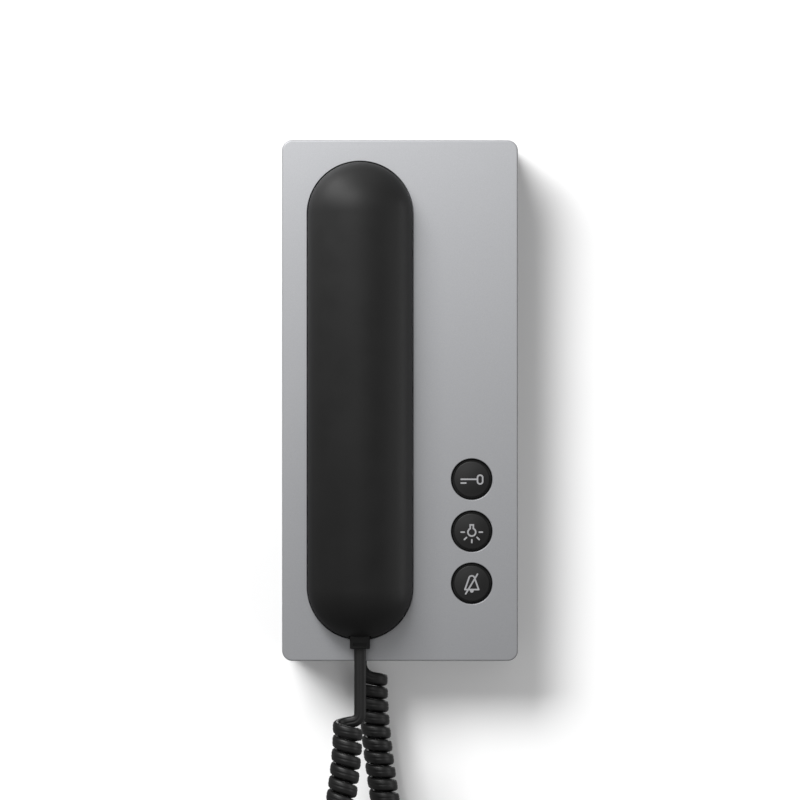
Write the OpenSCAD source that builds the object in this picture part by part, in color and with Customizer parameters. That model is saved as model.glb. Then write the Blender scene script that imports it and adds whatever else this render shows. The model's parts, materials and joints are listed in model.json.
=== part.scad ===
// Wall-mounted audio intercom: a housing on a wall plate, a lift-off handset on a curly cord, three buttons.
// Lengths are in millimetres. The wall is the plane y = 0, the object stands out towards -Y,
// +X is to the right and +Z is up. Each piece is drawn in a drawing frame, x to the right, y up
// and z out of the wall, and wall_frame() turns it upright.

/* [Housing] */
// Width of the housing
housing_w = 91; // [89:0.5:110]
// Height of the housing
housing_h = 201; // [199:1:230]
// Depth of the housing, from the wall to its front face
housing_d = 25.5; // [25:0.5:32]
// Thickness of the housing's walls
housing_wall = 2.5; // [2:0.1:3]
// Radius of the housing's four upright corners
corner_r = 4; // [3.4:0.2:7]
// Rounding of the front edges
edge_r = 0.6; // [0.4:0.1:1.8]
// Gap between the housing's rim and the wall
rim_gap = 0.5; // [0.2:0.1:1]
// Depth of the pocket that takes the handset
pocket_d = 5; // [4:0.5:5.5]
// Thickness of the pocket's floor and of the wells in it
floor_t = 1.8; // [1.4:0.1:2]

/* [Handset] */
// Width of the handset
handset_w = 40.2; // [38:0.1:44]
// Distance of the handset's ends from the housing's upper and lower ends
handset_end = 8.5; // [6.5:0.25:10]
// Distance of the handset's middle from the housing's left side
handset_side = 30.1; // [28.5:0.1:32.5]
// Wall of the handset's front shell
shell_t = 2.2; // [1.6:0.1:2.6]
// Thickness of the handset's rear shell
cover_t = 1.5; // [1.2:0.1:1.8]
// Height of the lip of the rear shell inside the front shell
lip_h = 2; // [1:0.5:3]
// Thickness of that lip
lip_t = 1.5; // [1:0.1:2]
// Distance of the ear and mouth cups from the handset's ends
cup_end = 30; // [28:0.25:34]
// Diameter of the ear and mouth cups
cup_d = 33; // [30:0.5:35]
// How far the cups stand out of the rear shell
cup_h = 4.6; // [4:0.2:5]
// Wall of the cups
cup_wall = 1.6; // [1.2:0.1:2]
// Diameter of the posts that take the shell screws
post_d = 7; // [6:0.5:8]

/* [Buttons] */
// Diameter of the button holes
button_hole_d = 16; // [15:0.5:18]
// Diameter of the raised face of a button
button_face_d = 13.9; // [12:0.1:14.2]
// Distance of the buttons from the housing's right side
button_side = 17.8; // [16.5:0.1:19.5]
// Height of the middle button above the housing's lower end
button_up = 50; // [46:0.5:54]
// Distance from button to button
button_pitch = 20.1; // [19.6:0.1:21]
// How far a button's face lies below the housing's front
button_sink = 0.3; // [0.2:0.1:0.8]
// Height of the raised face above the shoulder round it
button_step = 2.2; // [1:0.1:2.6]
// Rounding of the raised face's edge
button_round = 0.5; // [0.2:0.1:0.7]
// Travel of a button
button_travel = 1.2; // [0.8:0.1:1.5]
// Length of the collar that guides a button
collar_l = 3.9; // [3:0.1:5]
// Wall of that collar
collar_t = 1.7; // [1.2:0.1:2]
// Thickness of the flange behind the collar
flange_t = 1.2; // [1:0.1:1.6]
// Diameter of a button's stem
stem_d = 6; // [4:0.5:7]
// Diameter of a silicone dome at its foot
dome_d = 9; // [7:0.5:10]
// Height of a silicone dome
dome_h = 3.5; // [2.5:0.1:4.5]
// Wall of a silicone dome
dome_t = 0.8; // [0.6:0.1:1]
// Stroke of the signs
sign_stroke = 0.6; // [0.5:0.02:0.9]
// Thickness of the signs
sign_t = 0.2; // [0.1:0.05:0.3]

/* [Wall plate] */
// Thickness of the wall plate
plate_t = 2.5; // [2:0.1:3]
// Height of the plate's rim above the wall
rim_h = 7; // [6:0.5:9]
// Thickness of the plate's rim
rim_t = 1.8; // [1.4:0.1:2.2]
// Diameter of the wall screw holes
wall_hole_d = 4.5; // [3.5:0.1:5.5]
// Distance of the wall screw holes across
wall_hole_dx = 60; // [50:1:62]
// Distance of the wall screw holes from the plate's upper and lower ends
wall_hole_in = 9.7; // [8:0.1:14]
// Width of the window for the house wiring
window_w = 36; // [20:1:50]
// Height of that window
window_h = 22; // [14:1:24]
// Height of the window's middle above the plate's middle
window_y = 45; // [42:1:52]
// Height of the bosses under the board
boss_h = 2; // [1.5:0.1:2.5]
// Diameter of those bosses
boss_d = 6; // [5:0.5:7]
// Width of a snap nib
nib_w = 12; // [6:1:20]
// Height of a snap nib along the wall's depth
nib_h = 2; // [1:0.2:2.4]
// How far a nib reaches into the housing's wall
nib_bite = 0.7; // [0.4:0.1:1]
// Height of the nibs above and below the plate's middle
nib_y = 60; // [40:1:80]
// Distance of the nibs from the wall
nib_z = 4; // [3:0.2:4.4]

/* [Board] */
// Thickness of the main board
board_t = 1.6; // [1:0.2:2]
// Upper edge of the board
board_upper = 26; // [24:1:30]
// Height of the board's lower edge above the housing's lower end
board_up = 22.5; // [20.5:0.5:23.5]
// Width of the tongue that carries the base jack
board_tongue_w = 16; // [13:1:18]
// Distance of the board's screws from its edges
board_screw_in = 4; // [3.5:0.5:6]
// Shank diameter of the small screws
screw_d = 2.5; // [2:0.1:3]
// Head diameter of the small screws
screw_head_d = 4.8; // [4:0.1:5.5]
// Head height of the small screws
screw_head_h = 1.6; // [1.2:0.1:2]
// Diameter of the call sounder
sounder_d = 24; // [18:1:26]
// Height of the call sounder
sounder_h = 9; // [6:0.5:12]
// Place of the call sounder, measured from the buttons to the left
sounder_dx = 3.7; // [0.7:0.1:5.7]
// Place of the call sounder up
sounder_y = -4; // [-5:0.5:-1]
// Pitch of the terminal block's poles
terminal_pitch = 5; // [4:0.5:5.5]
// Depth of the terminal block along the board
terminal_l = 10; // [8:0.5:11]
// Height of the terminal block
terminal_h = 10; // [8:0.5:11]
// Place of the terminal block, measured from the buttons to the left
terminal_dx = 7.7; // [3.7:0.1:9.7]
// Diameter of the two capacitors
capacitor_d = 8; // [5:0.5:9]
// Height of the two capacitors
capacitor_h = 9.5; // [7:0.5:11]
// Side of the flat chip
chip_w = 10; // [6:1:14]

/* [Hook] */
// Height of the hook plunger on the pocket's floor
hook_y = -10; // [-14:1:-6]
// Diameter of the hook plunger
plunger_d = 5; // [4:0.5:6]
// Travel of the hook plunger
plunger_travel = 4; // [3:0.5:4.5]
// Length of the guide behind the pocket's floor
guide_l = 1; // [0.8:0.1:2]
// Mean diameter of the hook spring
spring_d = 7.4; // [7:0.2:8]
// Wire of the hook spring
spring_wire = 0.6; // [0.4:0.1:0.7]
// Curls of the hook spring
spring_curls = 5; // [3:1:5]
// Side of the hook switch
switch_w = 4.4; // [3.6:0.2:4.6]
// Height of the hook switch with its button
switch_h = 3.5; // [2.5:0.1:4]
// Diameter of the cradle magnet
magnet_d = 14; // [10:1:18]
// Thickness of the cradle magnet
magnet_t = 4; // [2:0.5:5]
// Height of the cradle magnet on the pocket's floor
magnet_y = 14; // [10:1:16]
// Wall of the ring that holds the magnet
magnet_ring_t = 1.6; // [1.2:0.1:2]

/* [Inside the handset] */
// Thickness of the foam gasket before the ear speaker
gasket_t = 1; // [0.6:0.1:1.5]
// Width of the gasket's ring
gasket_w = 3; // [2:0.5:4]
// Height of the ear speaker's frame
speaker_frame_h = 2.5; // [2:0.1:3]
// Diameter of the ear speaker's magnet
speaker_magnet_d = 18; // [14:0.5:20]
// Height of the ear speaker's magnet
speaker_magnet_h = 4.7; // [3:0.1:6]
// Diameter of the microphone
mic_d = 9.7; // [6:0.1:10]
// Height of the microphone
mic_h = 4.5; // [3:0.1:5]
// Wall of the microphone's rubber boot
boot_t = 1.2; // [1:0.1:1.6]
// Wall of the ring that holds the boot
boot_ring_t = 1.6; // [1.2:0.1:2]
// Width of the steel keeper weight
weight_w = 26; // [18:1:26]
// Length of the steel keeper weight
weight_l = 44; // [30:1:50]
// Thickness of the steel keeper weight
weight_t = 4; // [2:0.5:4]
// Diameter of the sound holes
sound_hole_d = 1.8; // [1.2:0.1:2.2]
// Diameter of the thin two-core wires
wire_d = 1.6; // [1:0.1:1.8]

/* [Plugs and jacks] */
// Width of a modular plug
plug_w = 7.65; // [7:0.05:8]
// Thickness of a modular plug
plug_t = 6.2; // [5.6:0.1:6.4]
// Length of a modular plug
plug_l = 14.7; // [13:0.1:16]
// Width of a modular jack
jack_w = 11; // [10.5:0.1:12]
// Length of a modular jack
jack_l = 13.5; // [12.5:0.1:14]
// Height of the plug's axis above the foot of the base jack
jack_axis = 5.6; // [5.5:0.1:6.6]
// Wall of a jack over the plug
jack_roof = 1; // [0.8:0.1:2.6]
// How far the handset's plug stands out of the handset
plug_out = 3.4; // [2.5:0.1:5]
// How far the base plug's end lies inside the housing's lower edge
plug_sink = 2.4; // [1:0.1:3]
// Thickness of a jack's back wall
jack_back_t = 1.2; // [0.8:0.1:2]
// Place of the base jack, measured from the handset's middle to the right
inlet_dx = 0.2; // [-1.4:0.2:2.2]

/* [Cord] */
// Width of the flat cord
cord_w = 4.5; // [3.8:0.1:4.6]
// Thickness of the flat cord
cord_t = 2.4; // [2:0.1:2.6]
// Length of the straight lead below the handset's plug
lead_l = 20.5; // [10:0.5:30]
// Mean diameter of the curls
curl_d = 9.2; // [8:0.1:10]
// Curls of the cord
curl_count = 48; // [30:1:49]

/* [Clearances] */
// Around the handset in its pocket
pocket_gap = 0.4; // [0.3:0.1:0.7]
// Under the handset in its pocket
seat_gap = 0.3; // [0.2:0.05:0.5]
// Round and under the cups in their wells
cup_gap = 0.6; // [0.4:0.1:0.8]
// Round the wall plate in the housing
plate_gap = 0.3; // [0.2:0.05:0.4]
// Round the snap nibs
nib_gap = 0.15; // [0.1:0.05:0.2]
// Round a button in its hole
button_gap = 0.25; // [0.15:0.05:0.35]
// Between the board and the plate's rim
board_gap = 0.9; // [0.5:0.1:1]
// Between a moving piece and its stop
stop_gap = 0.3; // [0.2:0.05:0.4]
// Between pieces that seat on each other with play
fit_gap = 0.1; // [0.05:0.01:0.15]

/* [Hidden] */
$fn = 64;
// Cuts reach this far past a face
past = 1;
// Widths and depths that follow from the driving dimensions, z measured out of the wall
handset_l = housing_h - 2 * handset_end;
handset_x = handset_side - housing_w / 2;
button_x = housing_w / 2 - button_side;
button_y = button_up - housing_h / 2;
board_lower = board_up - housing_h / 2;
sounder_x = button_x - sounder_dx;
terminal_x = button_x - terminal_dx;
inlet_x = handset_x + inlet_dx;
cup_y = handset_l / 2 - cup_end;
front_in = housing_d - housing_wall;
pocket_z = housing_d - pocket_d;
pocket_back = pocket_z - floor_t;
cover_z = pocket_z + seat_gap;
split_z = cover_z + cover_t;
dome_r = handset_w / 2;
dome_y = handset_l / 2 - dome_r;
cup_z = cover_z - cup_h;
cup_floor = cup_z + cup_wall;
cup_in_d = cup_d - 2 * cup_wall;
well_r = cup_d / 2 + cup_gap;
well_z = cup_z - cup_gap;
plate_w = housing_w - 2 * (housing_wall + plate_gap);
plate_h = housing_h - 2 * (housing_wall + plate_gap);
wall_hole_dy = plate_h - 2 * wall_hole_in;
inner_r = corner_r - housing_wall;
plate_r = inner_r - plate_gap;
board_w = plate_w - 2 * (rim_t + board_gap);
board_z = plate_t + boss_h;
board_face = board_z + board_t;
button_r = button_hole_d / 2 - button_gap;
button_face_z = housing_d - button_sink;
shoulder_z = button_face_z - button_step;
flange_z = front_in - collar_l - fit_gap;
flange_r = button_hole_d / 2 + collar_t - button_gap - stop_gap;
hook_flange_z = pocket_back - guide_l - plunger_travel - stop_gap;
hook_flange_t = 1.2;
hook_flange_r = spring_d / 2 + spring_wire;
switch_z = board_face + switch_h;
speaker_z = cup_floor + gasket_t;
speaker_d = cup_in_d - 4 * fit_gap;
boot_d = mic_d + 2 * boot_t;
boot_h = mic_h + boot_t + boot_t / 4;
lead_z = housing_d + stop_gap + plug_t / 2;
lead_top = -handset_l / 2 - plug_out;
tail_z = board_face + jack_axis;
tail_top = -housing_h / 2 + plug_sink;
handset_jack_z = split_z + fit_gap;
jack_top_z = lead_z + plug_t / 2 + jack_roof;
dome_in = dome_r - shell_t;
handset_jack_y = -dome_y + 2 * fit_gap
    - sqrt(pow(dome_in, 2) - pow(jack_w / 2, 2) - pow(jack_top_z - housing_d, 2));
base_jack_y = tail_top + plug_l + stop_gap - (jack_l - jack_back_t);
board_h = board_upper - board_lower;
board_screw_dx = board_w - 2 * board_screw_in;
board_screw_dy = board_h - 2 * board_screw_in;
speaker_back = speaker_z + speaker_frame_h + speaker_magnet_h;
mic_back = cup_floor + boot_t + mic_h;
// Terminal block: its middle, its clamp screws and their seats
terminal_y = board_upper - terminal_l / 2 - 2;
clamp_d = terminal_pitch * 0.66;
clamp_z = board_face + terminal_h * 0.55;
// Latch behind a plug: width, thickness, length, root and distance from the plug's axis
latch_w = 3.2;
latch_t = 1;
latch_l = 5.5;
latch_root = 1.5;
latch_z = plug_t / 2 + 0.8;
// Contact blades of a plug, and the window of its cord clamp with the place above the cord's end
blade_w = 0.4;
blade_pitch = 1.27;
blade_l = 4.6;
blade_depth = 3;
clamp_window = [5.4, 1.3, 1.2];
clamp_y = 1.65;
// Shell screws, halfway between the weight and the cups, and their length in their posts
shell_screw_y = (weight_l / 2 + cup_y - cup_d / 2) / 2;
shell_screw_l = 9;

// Colours as the photo shows them, or as such pieces usually are
SILVER = [0.66, 0.66, 0.68];
BLACK = [0.09, 0.09, 0.1];
PALE = [0.85, 0.85, 0.83];
GREEN = [0.1, 0.38, 0.2];
STEEL = [0.6, 0.61, 0.62];
BRASS = [0.8, 0.65, 0.3];
SMOKE = [0.16, 0.16, 0.17];

// Turns the drawing frame upright: x stays, y becomes up, z becomes the way out of the wall
module wall_frame() rotate([90, 0, 0]) children();

// Rounded rectangle
module rounded(w, h, r) {
    square([w - 2 * r, h], center = true);
    square([w, h - 2 * r], center = true);
    for (x = [-1, 1], y = [-1, 1])
        translate([x * (w / 2 - r), y * (h / 2 - r)]) circle(r);
}

// Bar with half-round ends, upright
module stadium(w, l) {
    square([w, l - w], center = true);
    for (y = [-1, 1])
        translate([0, y * (l - w) / 2]) circle(w / 2);
}

// Straight stroke with round ends, for the signs
module stroke(p, q) {
    d = q - p;
    translate(p) rotate(atan2(d.y, d.x)) translate([0, -sign_stroke / 2]) square([norm(d), sign_stroke]);
    for (e = [p, q])
        translate(e) circle(sign_stroke / 2);
}

// Post, disc or bore between two depths
module post(d, z0, z1) translate([0, 0, z0]) cylinder(d = d, h = z1 - z0);

// Solid box between two depths, centred across
module slab(w, h, z0, z1) translate([-w / 2, -h / 2, z0]) cube([w, h, z1 - z0]);

// Places at the handset's middle line
module at_handset(y = 0) translate([handset_x, y, 0]) children();

// Places at the four corners of a rectangle
module corners(dx, dy)
    for (x = [-1, 1], y = [-1, 1])
        translate([x * dx / 2, y * dy / 2, 0]) children();

// Middle of the board, which isn't the plate's middle
module at_board() translate([0, (board_upper + board_lower) / 2, 0]) children();

// Wall plate: flat back on the wall, rim, bosses for the board and nibs that snap into the housing
module wall_plate() color(SMOKE) wall_frame() difference() {
    union() {
        linear_extrude(plate_t) rounded(plate_w, plate_h, plate_r);
        difference() {
            linear_extrude(rim_h) rounded(plate_w, plate_h, plate_r);
            slab(plate_w - 2 * rim_t, plate_h - 2 * rim_t, -past, rim_h + past);
            translate([inlet_x, -plate_h / 2, 0]) slab(board_tongue_w + 2, 4 * rim_t, -past, rim_h + past);
        }
        at_board() corners(board_screw_dx, board_screw_dy) post(boss_d, 0, board_z);
        translate([inlet_x, base_jack_y + jack_l / 2, 0]) slab(jack_w, boss_d, 0, board_z);
        for (x = [-1, 1], y = [-1, 1])
            translate([x * plate_w / 2, y * nib_y, 0])
                slab(2 * (plate_gap + nib_bite), nib_w, nib_z, nib_z + nib_h);
    }
    corners(wall_hole_dx, wall_hole_dy) post(wall_hole_d, -past, plate_t + past);
    translate([0, window_y, 0]) slab(window_w, window_h, -past, plate_t + past);
    at_board() corners(board_screw_dx, board_screw_dy) post(screw_d + fit_gap, plate_t / 2, board_z + past);
}

// Outside of the housing: a block with round upright corners and rounded front edges
module housing_block() intersection() {
    translate([0, 0, rim_gap]) linear_extrude(housing_d - rim_gap) rounded(housing_w, housing_h, corner_r);
    rotate([90, 0, 0]) translate([0, 0, -housing_h]) linear_extrude(2 * housing_h) front_profile(housing_w);
    rotate([90, 0, 90]) translate([0, 0, -housing_w]) linear_extrude(2 * housing_w) front_profile(housing_h);
}

// Side view of that block, with round corners at the front
module front_profile(w) {
    translate([-w / 2, -past]) square([w, housing_d - edge_r + past]);
    translate([-w / 2 + edge_r, -past]) square([w - 2 * edge_r, housing_d + past]);
    for (x = [-1, 1])
        translate([x * (w / 2 - edge_r), housing_d - edge_r]) circle(edge_r);
}

// Places of the three buttons, from the top
module at_buttons()
    for (i = [0 : 2])
        translate([button_x, button_y + (1 - i) * button_pitch, 0]) children();

// Housing: front cover with the handset's pocket, two wells, button collars and cord inlet
module housing() color(SILVER) wall_frame() difference() {
    union() {
        difference() {
            housing_block();
            translate([0, 0, -past]) linear_extrude(front_in + past)
                rounded(housing_w - 2 * housing_wall, housing_h - 2 * housing_wall, inner_r);
        }
        at_handset() translate([0, 0, pocket_back]) linear_extrude(front_in - pocket_back + past)
            stadium(handset_w + 2 * (pocket_gap + floor_t), handset_l + 2 * (pocket_gap + floor_t));
        for (y = [-1, 1])
            at_handset(y * cup_y) post(2 * (well_r + floor_t), well_z - floor_t, pocket_z);
        at_buttons() post(button_hole_d + 2 * collar_t, front_in - collar_l, front_in + past);
        at_handset(hook_y) post(plunger_d + 2 * floor_t, pocket_back - guide_l, pocket_z);
        at_handset(magnet_y) post(magnet_d + 2 * magnet_ring_t, pocket_back - magnet_t, pocket_z);
    }
    at_handset() translate([0, 0, pocket_z]) linear_extrude(pocket_d + past)
        stadium(handset_w + 2 * pocket_gap, handset_l + 2 * pocket_gap);
    for (y = [-1, 1])
        at_handset(y * cup_y) post(2 * well_r, well_z, housing_d + past);
    at_buttons() post(button_hole_d, front_in - collar_l - past, housing_d + past);
    at_handset(hook_y) post(plunger_d + 2 * fit_gap, 0, housing_d);
    at_handset(magnet_y) post(magnet_d + fit_gap, 0, pocket_back);
    translate([inlet_x, -housing_h / 2, 0])
        slab(plug_w + 2 * stop_gap, 4 * housing_wall, -past, tail_z + plug_t / 2 + stop_gap);
    for (x = [-1, 1], y = [-1, 1])
        translate([x * (housing_w / 2 - housing_wall), y * nib_y, 0])
            slab(2 * (nib_bite + nib_gap), nib_w + 2 * nib_gap, nib_z - nib_gap, nib_z + nib_h + nib_gap);
}

// Main board, with a tongue down to the base jack
module main_board() color(GREEN) wall_frame() difference() {
    union() {
        at_board() slab(board_w, board_h, board_z, board_face);
        translate([inlet_x, (board_lower + past + base_jack_y) / 2, 0])
            slab(board_tongue_w, board_lower + past - base_jack_y, board_z, board_face);
    }
    at_board() corners(board_screw_dx, board_screw_dy) post(screw_d + 4 * fit_gap, 0, board_face + past);
}

// Pan-head screw that stands on a face at z and points towards the wall
module pan_screw(z, l) {
    post(screw_d, z - l, z);
    difference() {
        post(screw_head_d, z, z + screw_head_h);
        slab(screw_head_d / 6, screw_head_d * 0.7, z + screw_head_h / 2, z + screw_head_h + past);
        slab(screw_head_d * 0.7, screw_head_d / 6, z + screw_head_h / 2, z + screw_head_h + past);
    }
}

module board_screws() color(STEEL) wall_frame()
    at_board() corners(board_screw_dx, board_screw_dy) pan_screw(board_face, board_t + boss_h);

// Capacitors, chip and choke of the board
module board_components() color(BLACK) wall_frame() {
    for (y = [0, 1])
        translate([-board_w / 2 + capacitor_d, board_upper - (1.5 + 1.4 * y) * capacitor_d, 0])
            post(capacitor_d, board_face, board_face + capacitor_h);
    translate([button_x - 2 * dome_d, button_y, 0]) slab(chip_w, chip_w, board_face, board_face + chip_w / 5);
    translate([button_x - 2 * dome_d, button_y + button_pitch, 0])
        slab(chip_w / 2, chip_w, board_face, board_face + chip_w / 3);
}

// Terminal block: clamp screws from the front, wires from above
module at_poles()
    for (i = [-1.5 : 1.5])
        translate([terminal_x + i * terminal_pitch, terminal_y, 0]) children();

module terminal_block() color(PALE) wall_frame() difference() {
    translate([terminal_x, terminal_y, 0])
        slab(4 * terminal_pitch, terminal_l, board_face, board_face + terminal_h);
    at_poles() post(clamp_d + 2 * fit_gap, clamp_z, board_face + terminal_h + past);
    at_poles() translate([0, 0, board_face + terminal_h * 0.3]) rotate([-90, 0, 0])
        cylinder(d = clamp_d * 0.75, h = terminal_l);
}

module terminal_screws() color(STEEL) wall_frame() at_poles() difference() {
    post(clamp_d, clamp_z, clamp_z + clamp_d);
    slab(clamp_d * 0.8, clamp_d / 5, clamp_z + clamp_d * 0.75, clamp_z + clamp_d + past);
}

// Call sounder: round can with a sound hole
module call_sounder() color(BLACK) wall_frame() translate([sounder_x, sounder_y, 0]) difference() {
    union() {
        post(sounder_d, board_face, board_face + sounder_h * 0.85);
        post(sounder_d * 0.9, board_face, board_face + sounder_h);
    }
    post(sounder_d * 0.15, board_face + sounder_h / 2, board_face + sounder_h + past);
}

// Hook switch: small push switch on the board, under the plunger
module hook_switch() color(BLACK) wall_frame() at_handset(hook_y) {
    slab(switch_w, switch_w, board_face, switch_z - switch_h / 7);
    post(switch_w * 0.6, board_face, switch_z);
}

// Hook plunger: round tip in the pocket, flange for the spring, foot on the switch
module hook_plunger() color(PALE) wall_frame() at_handset(hook_y) {
    tip_z = cover_z - stop_gap / 2;
    post(plunger_d, hook_flange_z, tip_z - plunger_d / 8);
    post(plunger_d * 0.75, hook_flange_z, tip_z);
    post(2 * hook_flange_r, hook_flange_z - hook_flange_t, hook_flange_z);
    post(switch_w * 0.6, switch_z + fit_gap, hook_flange_z);
}

module cradle_magnet() color(STEEL) wall_frame()
    at_handset(magnet_y) post(magnet_d, pocket_back - magnet_t, pocket_back);

// Silicone dome under a button: a hollow cone frustum with a flat top
module silicone_dome(i) color(PALE) wall_frame()
    translate([button_x, button_y + (1 - i) * button_pitch, board_face]) rotate_extrude()
        polygon([[dome_d / 2 - dome_t, 0], [dome_d / 2, 0], [stem_d / 2, dome_h], [0, dome_h],
            [0, dome_h - dome_t], [stem_d / 2 - dome_t, dome_h - dome_t]]);

module door_dome() silicone_dome(0);
module light_dome() silicone_dome(1);
module mute_dome() silicone_dome(2);

// Button: raised round face, shoulder in the hole, flange behind the collar, stem to the dome
module button(i) color(BLACK) wall_frame()
    translate([button_x, button_y + (1 - i) * button_pitch, 0]) {
        rotate_extrude() {
            translate([0, shoulder_z - past]) square([button_face_d / 2, button_step + past - button_round]);
            translate([0, shoulder_z]) square([button_face_d / 2 - button_round, button_step]);
            translate([button_face_d / 2 - button_round, button_face_z - button_round]) circle(button_round);
        }
        post(2 * button_r, flange_z - flange_t, shoulder_z);
        post(2 * flange_r, flange_z - flange_t, flange_z);
        post(stem_d, board_face + dome_h + fit_gap, flange_z);
    }

module door_button() button(0);
module light_button() button(1);
module mute_button() button(2);

// Signs stand on the buttons' faces
module sign(i) color(PALE) wall_frame()
    translate([button_x, button_y + (1 - i) * button_pitch, button_face_z]) linear_extrude(sign_t) children();

// Ring of the signs' stroke
module sign_ring(w, l) difference() {
    stadium(w, l);
    stadium(w - 2 * sign_stroke, l - 2 * sign_stroke);
}

// Key: oval bow on the right, shaft to the left and a bit under its end
module door_sign() sign(0) {
    translate([3.2, -0.1]) sign_ring(2.6, 4);
    stroke([-4.1, 0], [2.2, 0]);
    stroke([-4.1, -1.45], [-2.3, -1.45]);
}

// Hanging bulb with its neck, drawn smaller by a margin
module bulb(margin) {
    circle(1.8 - margin);
    translate([margin - 0.9, 0]) square([1.8 - 2 * margin, 3.1 - margin]);
}

// Lamp: outline of a hanging bulb and five rays
module light_sign() sign(1) translate([0, -0.3]) {
    difference() {
        bulb(0);
        bulb(sign_stroke);
    }
    for (x = [-1, 1]) {
        stroke([x * 2.9, 0], [x * 4.1, 0]);
        stroke([x * 2.05, -2.05], [x * 2.85, -2.85]);
    }
    stroke([0, -2.95], [0, -4]);
}

// Crossed bell: two flanks under a round crown, a foot line, a clapper and a slash
module mute_sign() sign(2) {
    crown_r = 1.15;
    for (x = [-1, 1])
        stroke([x * crown_r * 0.95, 2.1], [x * 2.65, -2.35]);
    stroke([-2.65, -2.35], [2.65, -2.35]);
    stroke([-2.35, -4], [2.2, 3.6]);
    translate([0, 1.8]) intersection() {
        sign_ring(2 * crown_r + sign_stroke, 2 * crown_r + sign_stroke + 0.01);
        translate([-2 * crown_r, 0.2]) square(4 * crown_r);
    }
    translate([0, -2.85]) circle(0.7);
}

// Modular jack, drawn with the plug's axis on the origin, its mouth at y = 0 and its foot at z = -axis
module modular_jack(axis) difference() {
    translate([0, jack_l / 2, 0]) slab(jack_w, jack_l, -axis, plug_t / 2 + jack_roof);
    slab(plug_w + 2 * fit_gap, 2 * (jack_l - jack_back_t), -plug_t / 2 - fit_gap, plug_t / 2 + fit_gap);
    slab(latch_w + 4 * fit_gap, 2 * (jack_l - jack_back_t), -latch_z - latch_t - 4 * fit_gap, 0);
}

// Modular plug, drawn with its cord end at y = 0: clamp window in front, blade slots, latch behind
module modular_plug() {
    difference() {
        translate([0, plug_l / 2, 0]) slab(plug_w, plug_l, -plug_t / 2, plug_t / 2);
        translate([0, clamp_y, plug_t / 2]) slab(clamp_window.x, clamp_window.y, -clamp_window.z, past);
        at_blades() slab(blade_w + fit_gap, 2 * blade_l, plug_t / 2 - blade_depth, plug_t / 2 + past);
    }
    translate([0, plug_l - 1.5 * latch_root, 0]) slab(latch_w, latch_root, -latch_z - latch_t, -plug_t / 2);
    translate([0, plug_l - latch_root - latch_l / 2, 0]) slab(latch_w, latch_l, -latch_z - latch_t, -latch_z);
}

module at_blades()
    for (i = [-1.5 : 1.5])
        translate([i * blade_pitch, plug_l, 0]) children();

module plug_blades()
    at_blades() translate([0, -blade_l / 2, 0])
        slab(blade_w, blade_l - fit_gap, plug_t / 2 - blade_depth, plug_t / 2 - blade_w);

module at_base_plug() wall_frame() translate([inlet_x, tail_top, tail_z]) children();
module at_handset_plug() wall_frame() translate([handset_x, lead_top, lead_z]) children();

module base_jack() color(BLACK) wall_frame()
    translate([inlet_x, base_jack_y, tail_z]) modular_jack(jack_axis);
module base_plug() color(BLACK) at_base_plug() modular_plug();
module base_plug_blades() color(BRASS) at_base_plug() plug_blades();
module handset_jack() color(BLACK) wall_frame()
    translate([handset_x, handset_jack_y, lead_z]) modular_jack(lead_z - handset_jack_z);
module handset_plug() color(BLACK) at_handset_plug() modular_plug();
module handset_plug_blades() color(BRASS) at_handset_plug() plug_blades();

// Capsule lying upright at the level of the housing's front, with a skirt down to the split
module bar(r) {
    translate([0, 0, housing_d]) rotate([-90, 0, 0]) rotate_extrude() intersection() {
        union() {
            translate([0, -dome_y]) square([r, 2 * dome_y]);
            for (y = [-1, 1])
                translate([0, y * dome_y]) circle(r);
        }
        translate([0, -2 * handset_l]) square([2 * r, 4 * handset_l]);
    }
    translate([0, 0, split_z]) linear_extrude(housing_d - split_z) stadium(2 * r, 2 * (dome_y + r));
}

// Front shell of the handset: half-round bar with domed ends, posts and a stop for the speaker
module handset_front() color(BLACK) wall_frame() at_handset() {
    crown = housing_d + dome_in;
    difference() {
        union() {
            difference() {
                bar(dome_r);
                bar(dome_in);
            }
            for (y = [-1, 1])
                translate([0, y * shell_screw_y, 0]) post(post_d, split_z, crown);
            translate([0, cup_y, 0])
                post(0.8 * speaker_magnet_d, speaker_back + stop_gap, crown);
        }
        slab(2 * handset_w, 2 * handset_l, 0, split_z);
        for (y = [-1, 1])
            translate([0, y * shell_screw_y, 0]) post(screw_d + fit_gap, 0, split_z + shell_screw_l);
        translate([0, cup_y, 0]) post(0.6 * speaker_magnet_d, 0, crown);
        translate([0, -handset_l / 2, lead_z])
            slab(plug_w + 2 * stop_gap, 4 * shell_t + 2 * plug_out,
                -plug_t / 2 - stop_gap, plug_t / 2 + stop_gap);
    }
}

// Sound holes of a cup: one in the middle and rings of six, twelve and so on
module sound_holes(rings)
    for (k = [0 : rings], a = [0 : max(6 * k, 1) - 1])
        rotate(a * 360 / max(6 * k, 1)) translate([2.3 * k * sound_hole_d, 0, 0])
            post(sound_hole_d, cup_z - past, cup_floor + past);

// Cup of the rear shell, with a bevelled edge
module cup() {
    bevel = cup_wall / 2;
    rotate_extrude()
        polygon([[0, cup_z], [cup_d / 2 - bevel, cup_z], [cup_d / 2, cup_z + bevel], [cup_d / 2, split_z],
            [0, split_z]]);
}

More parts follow.
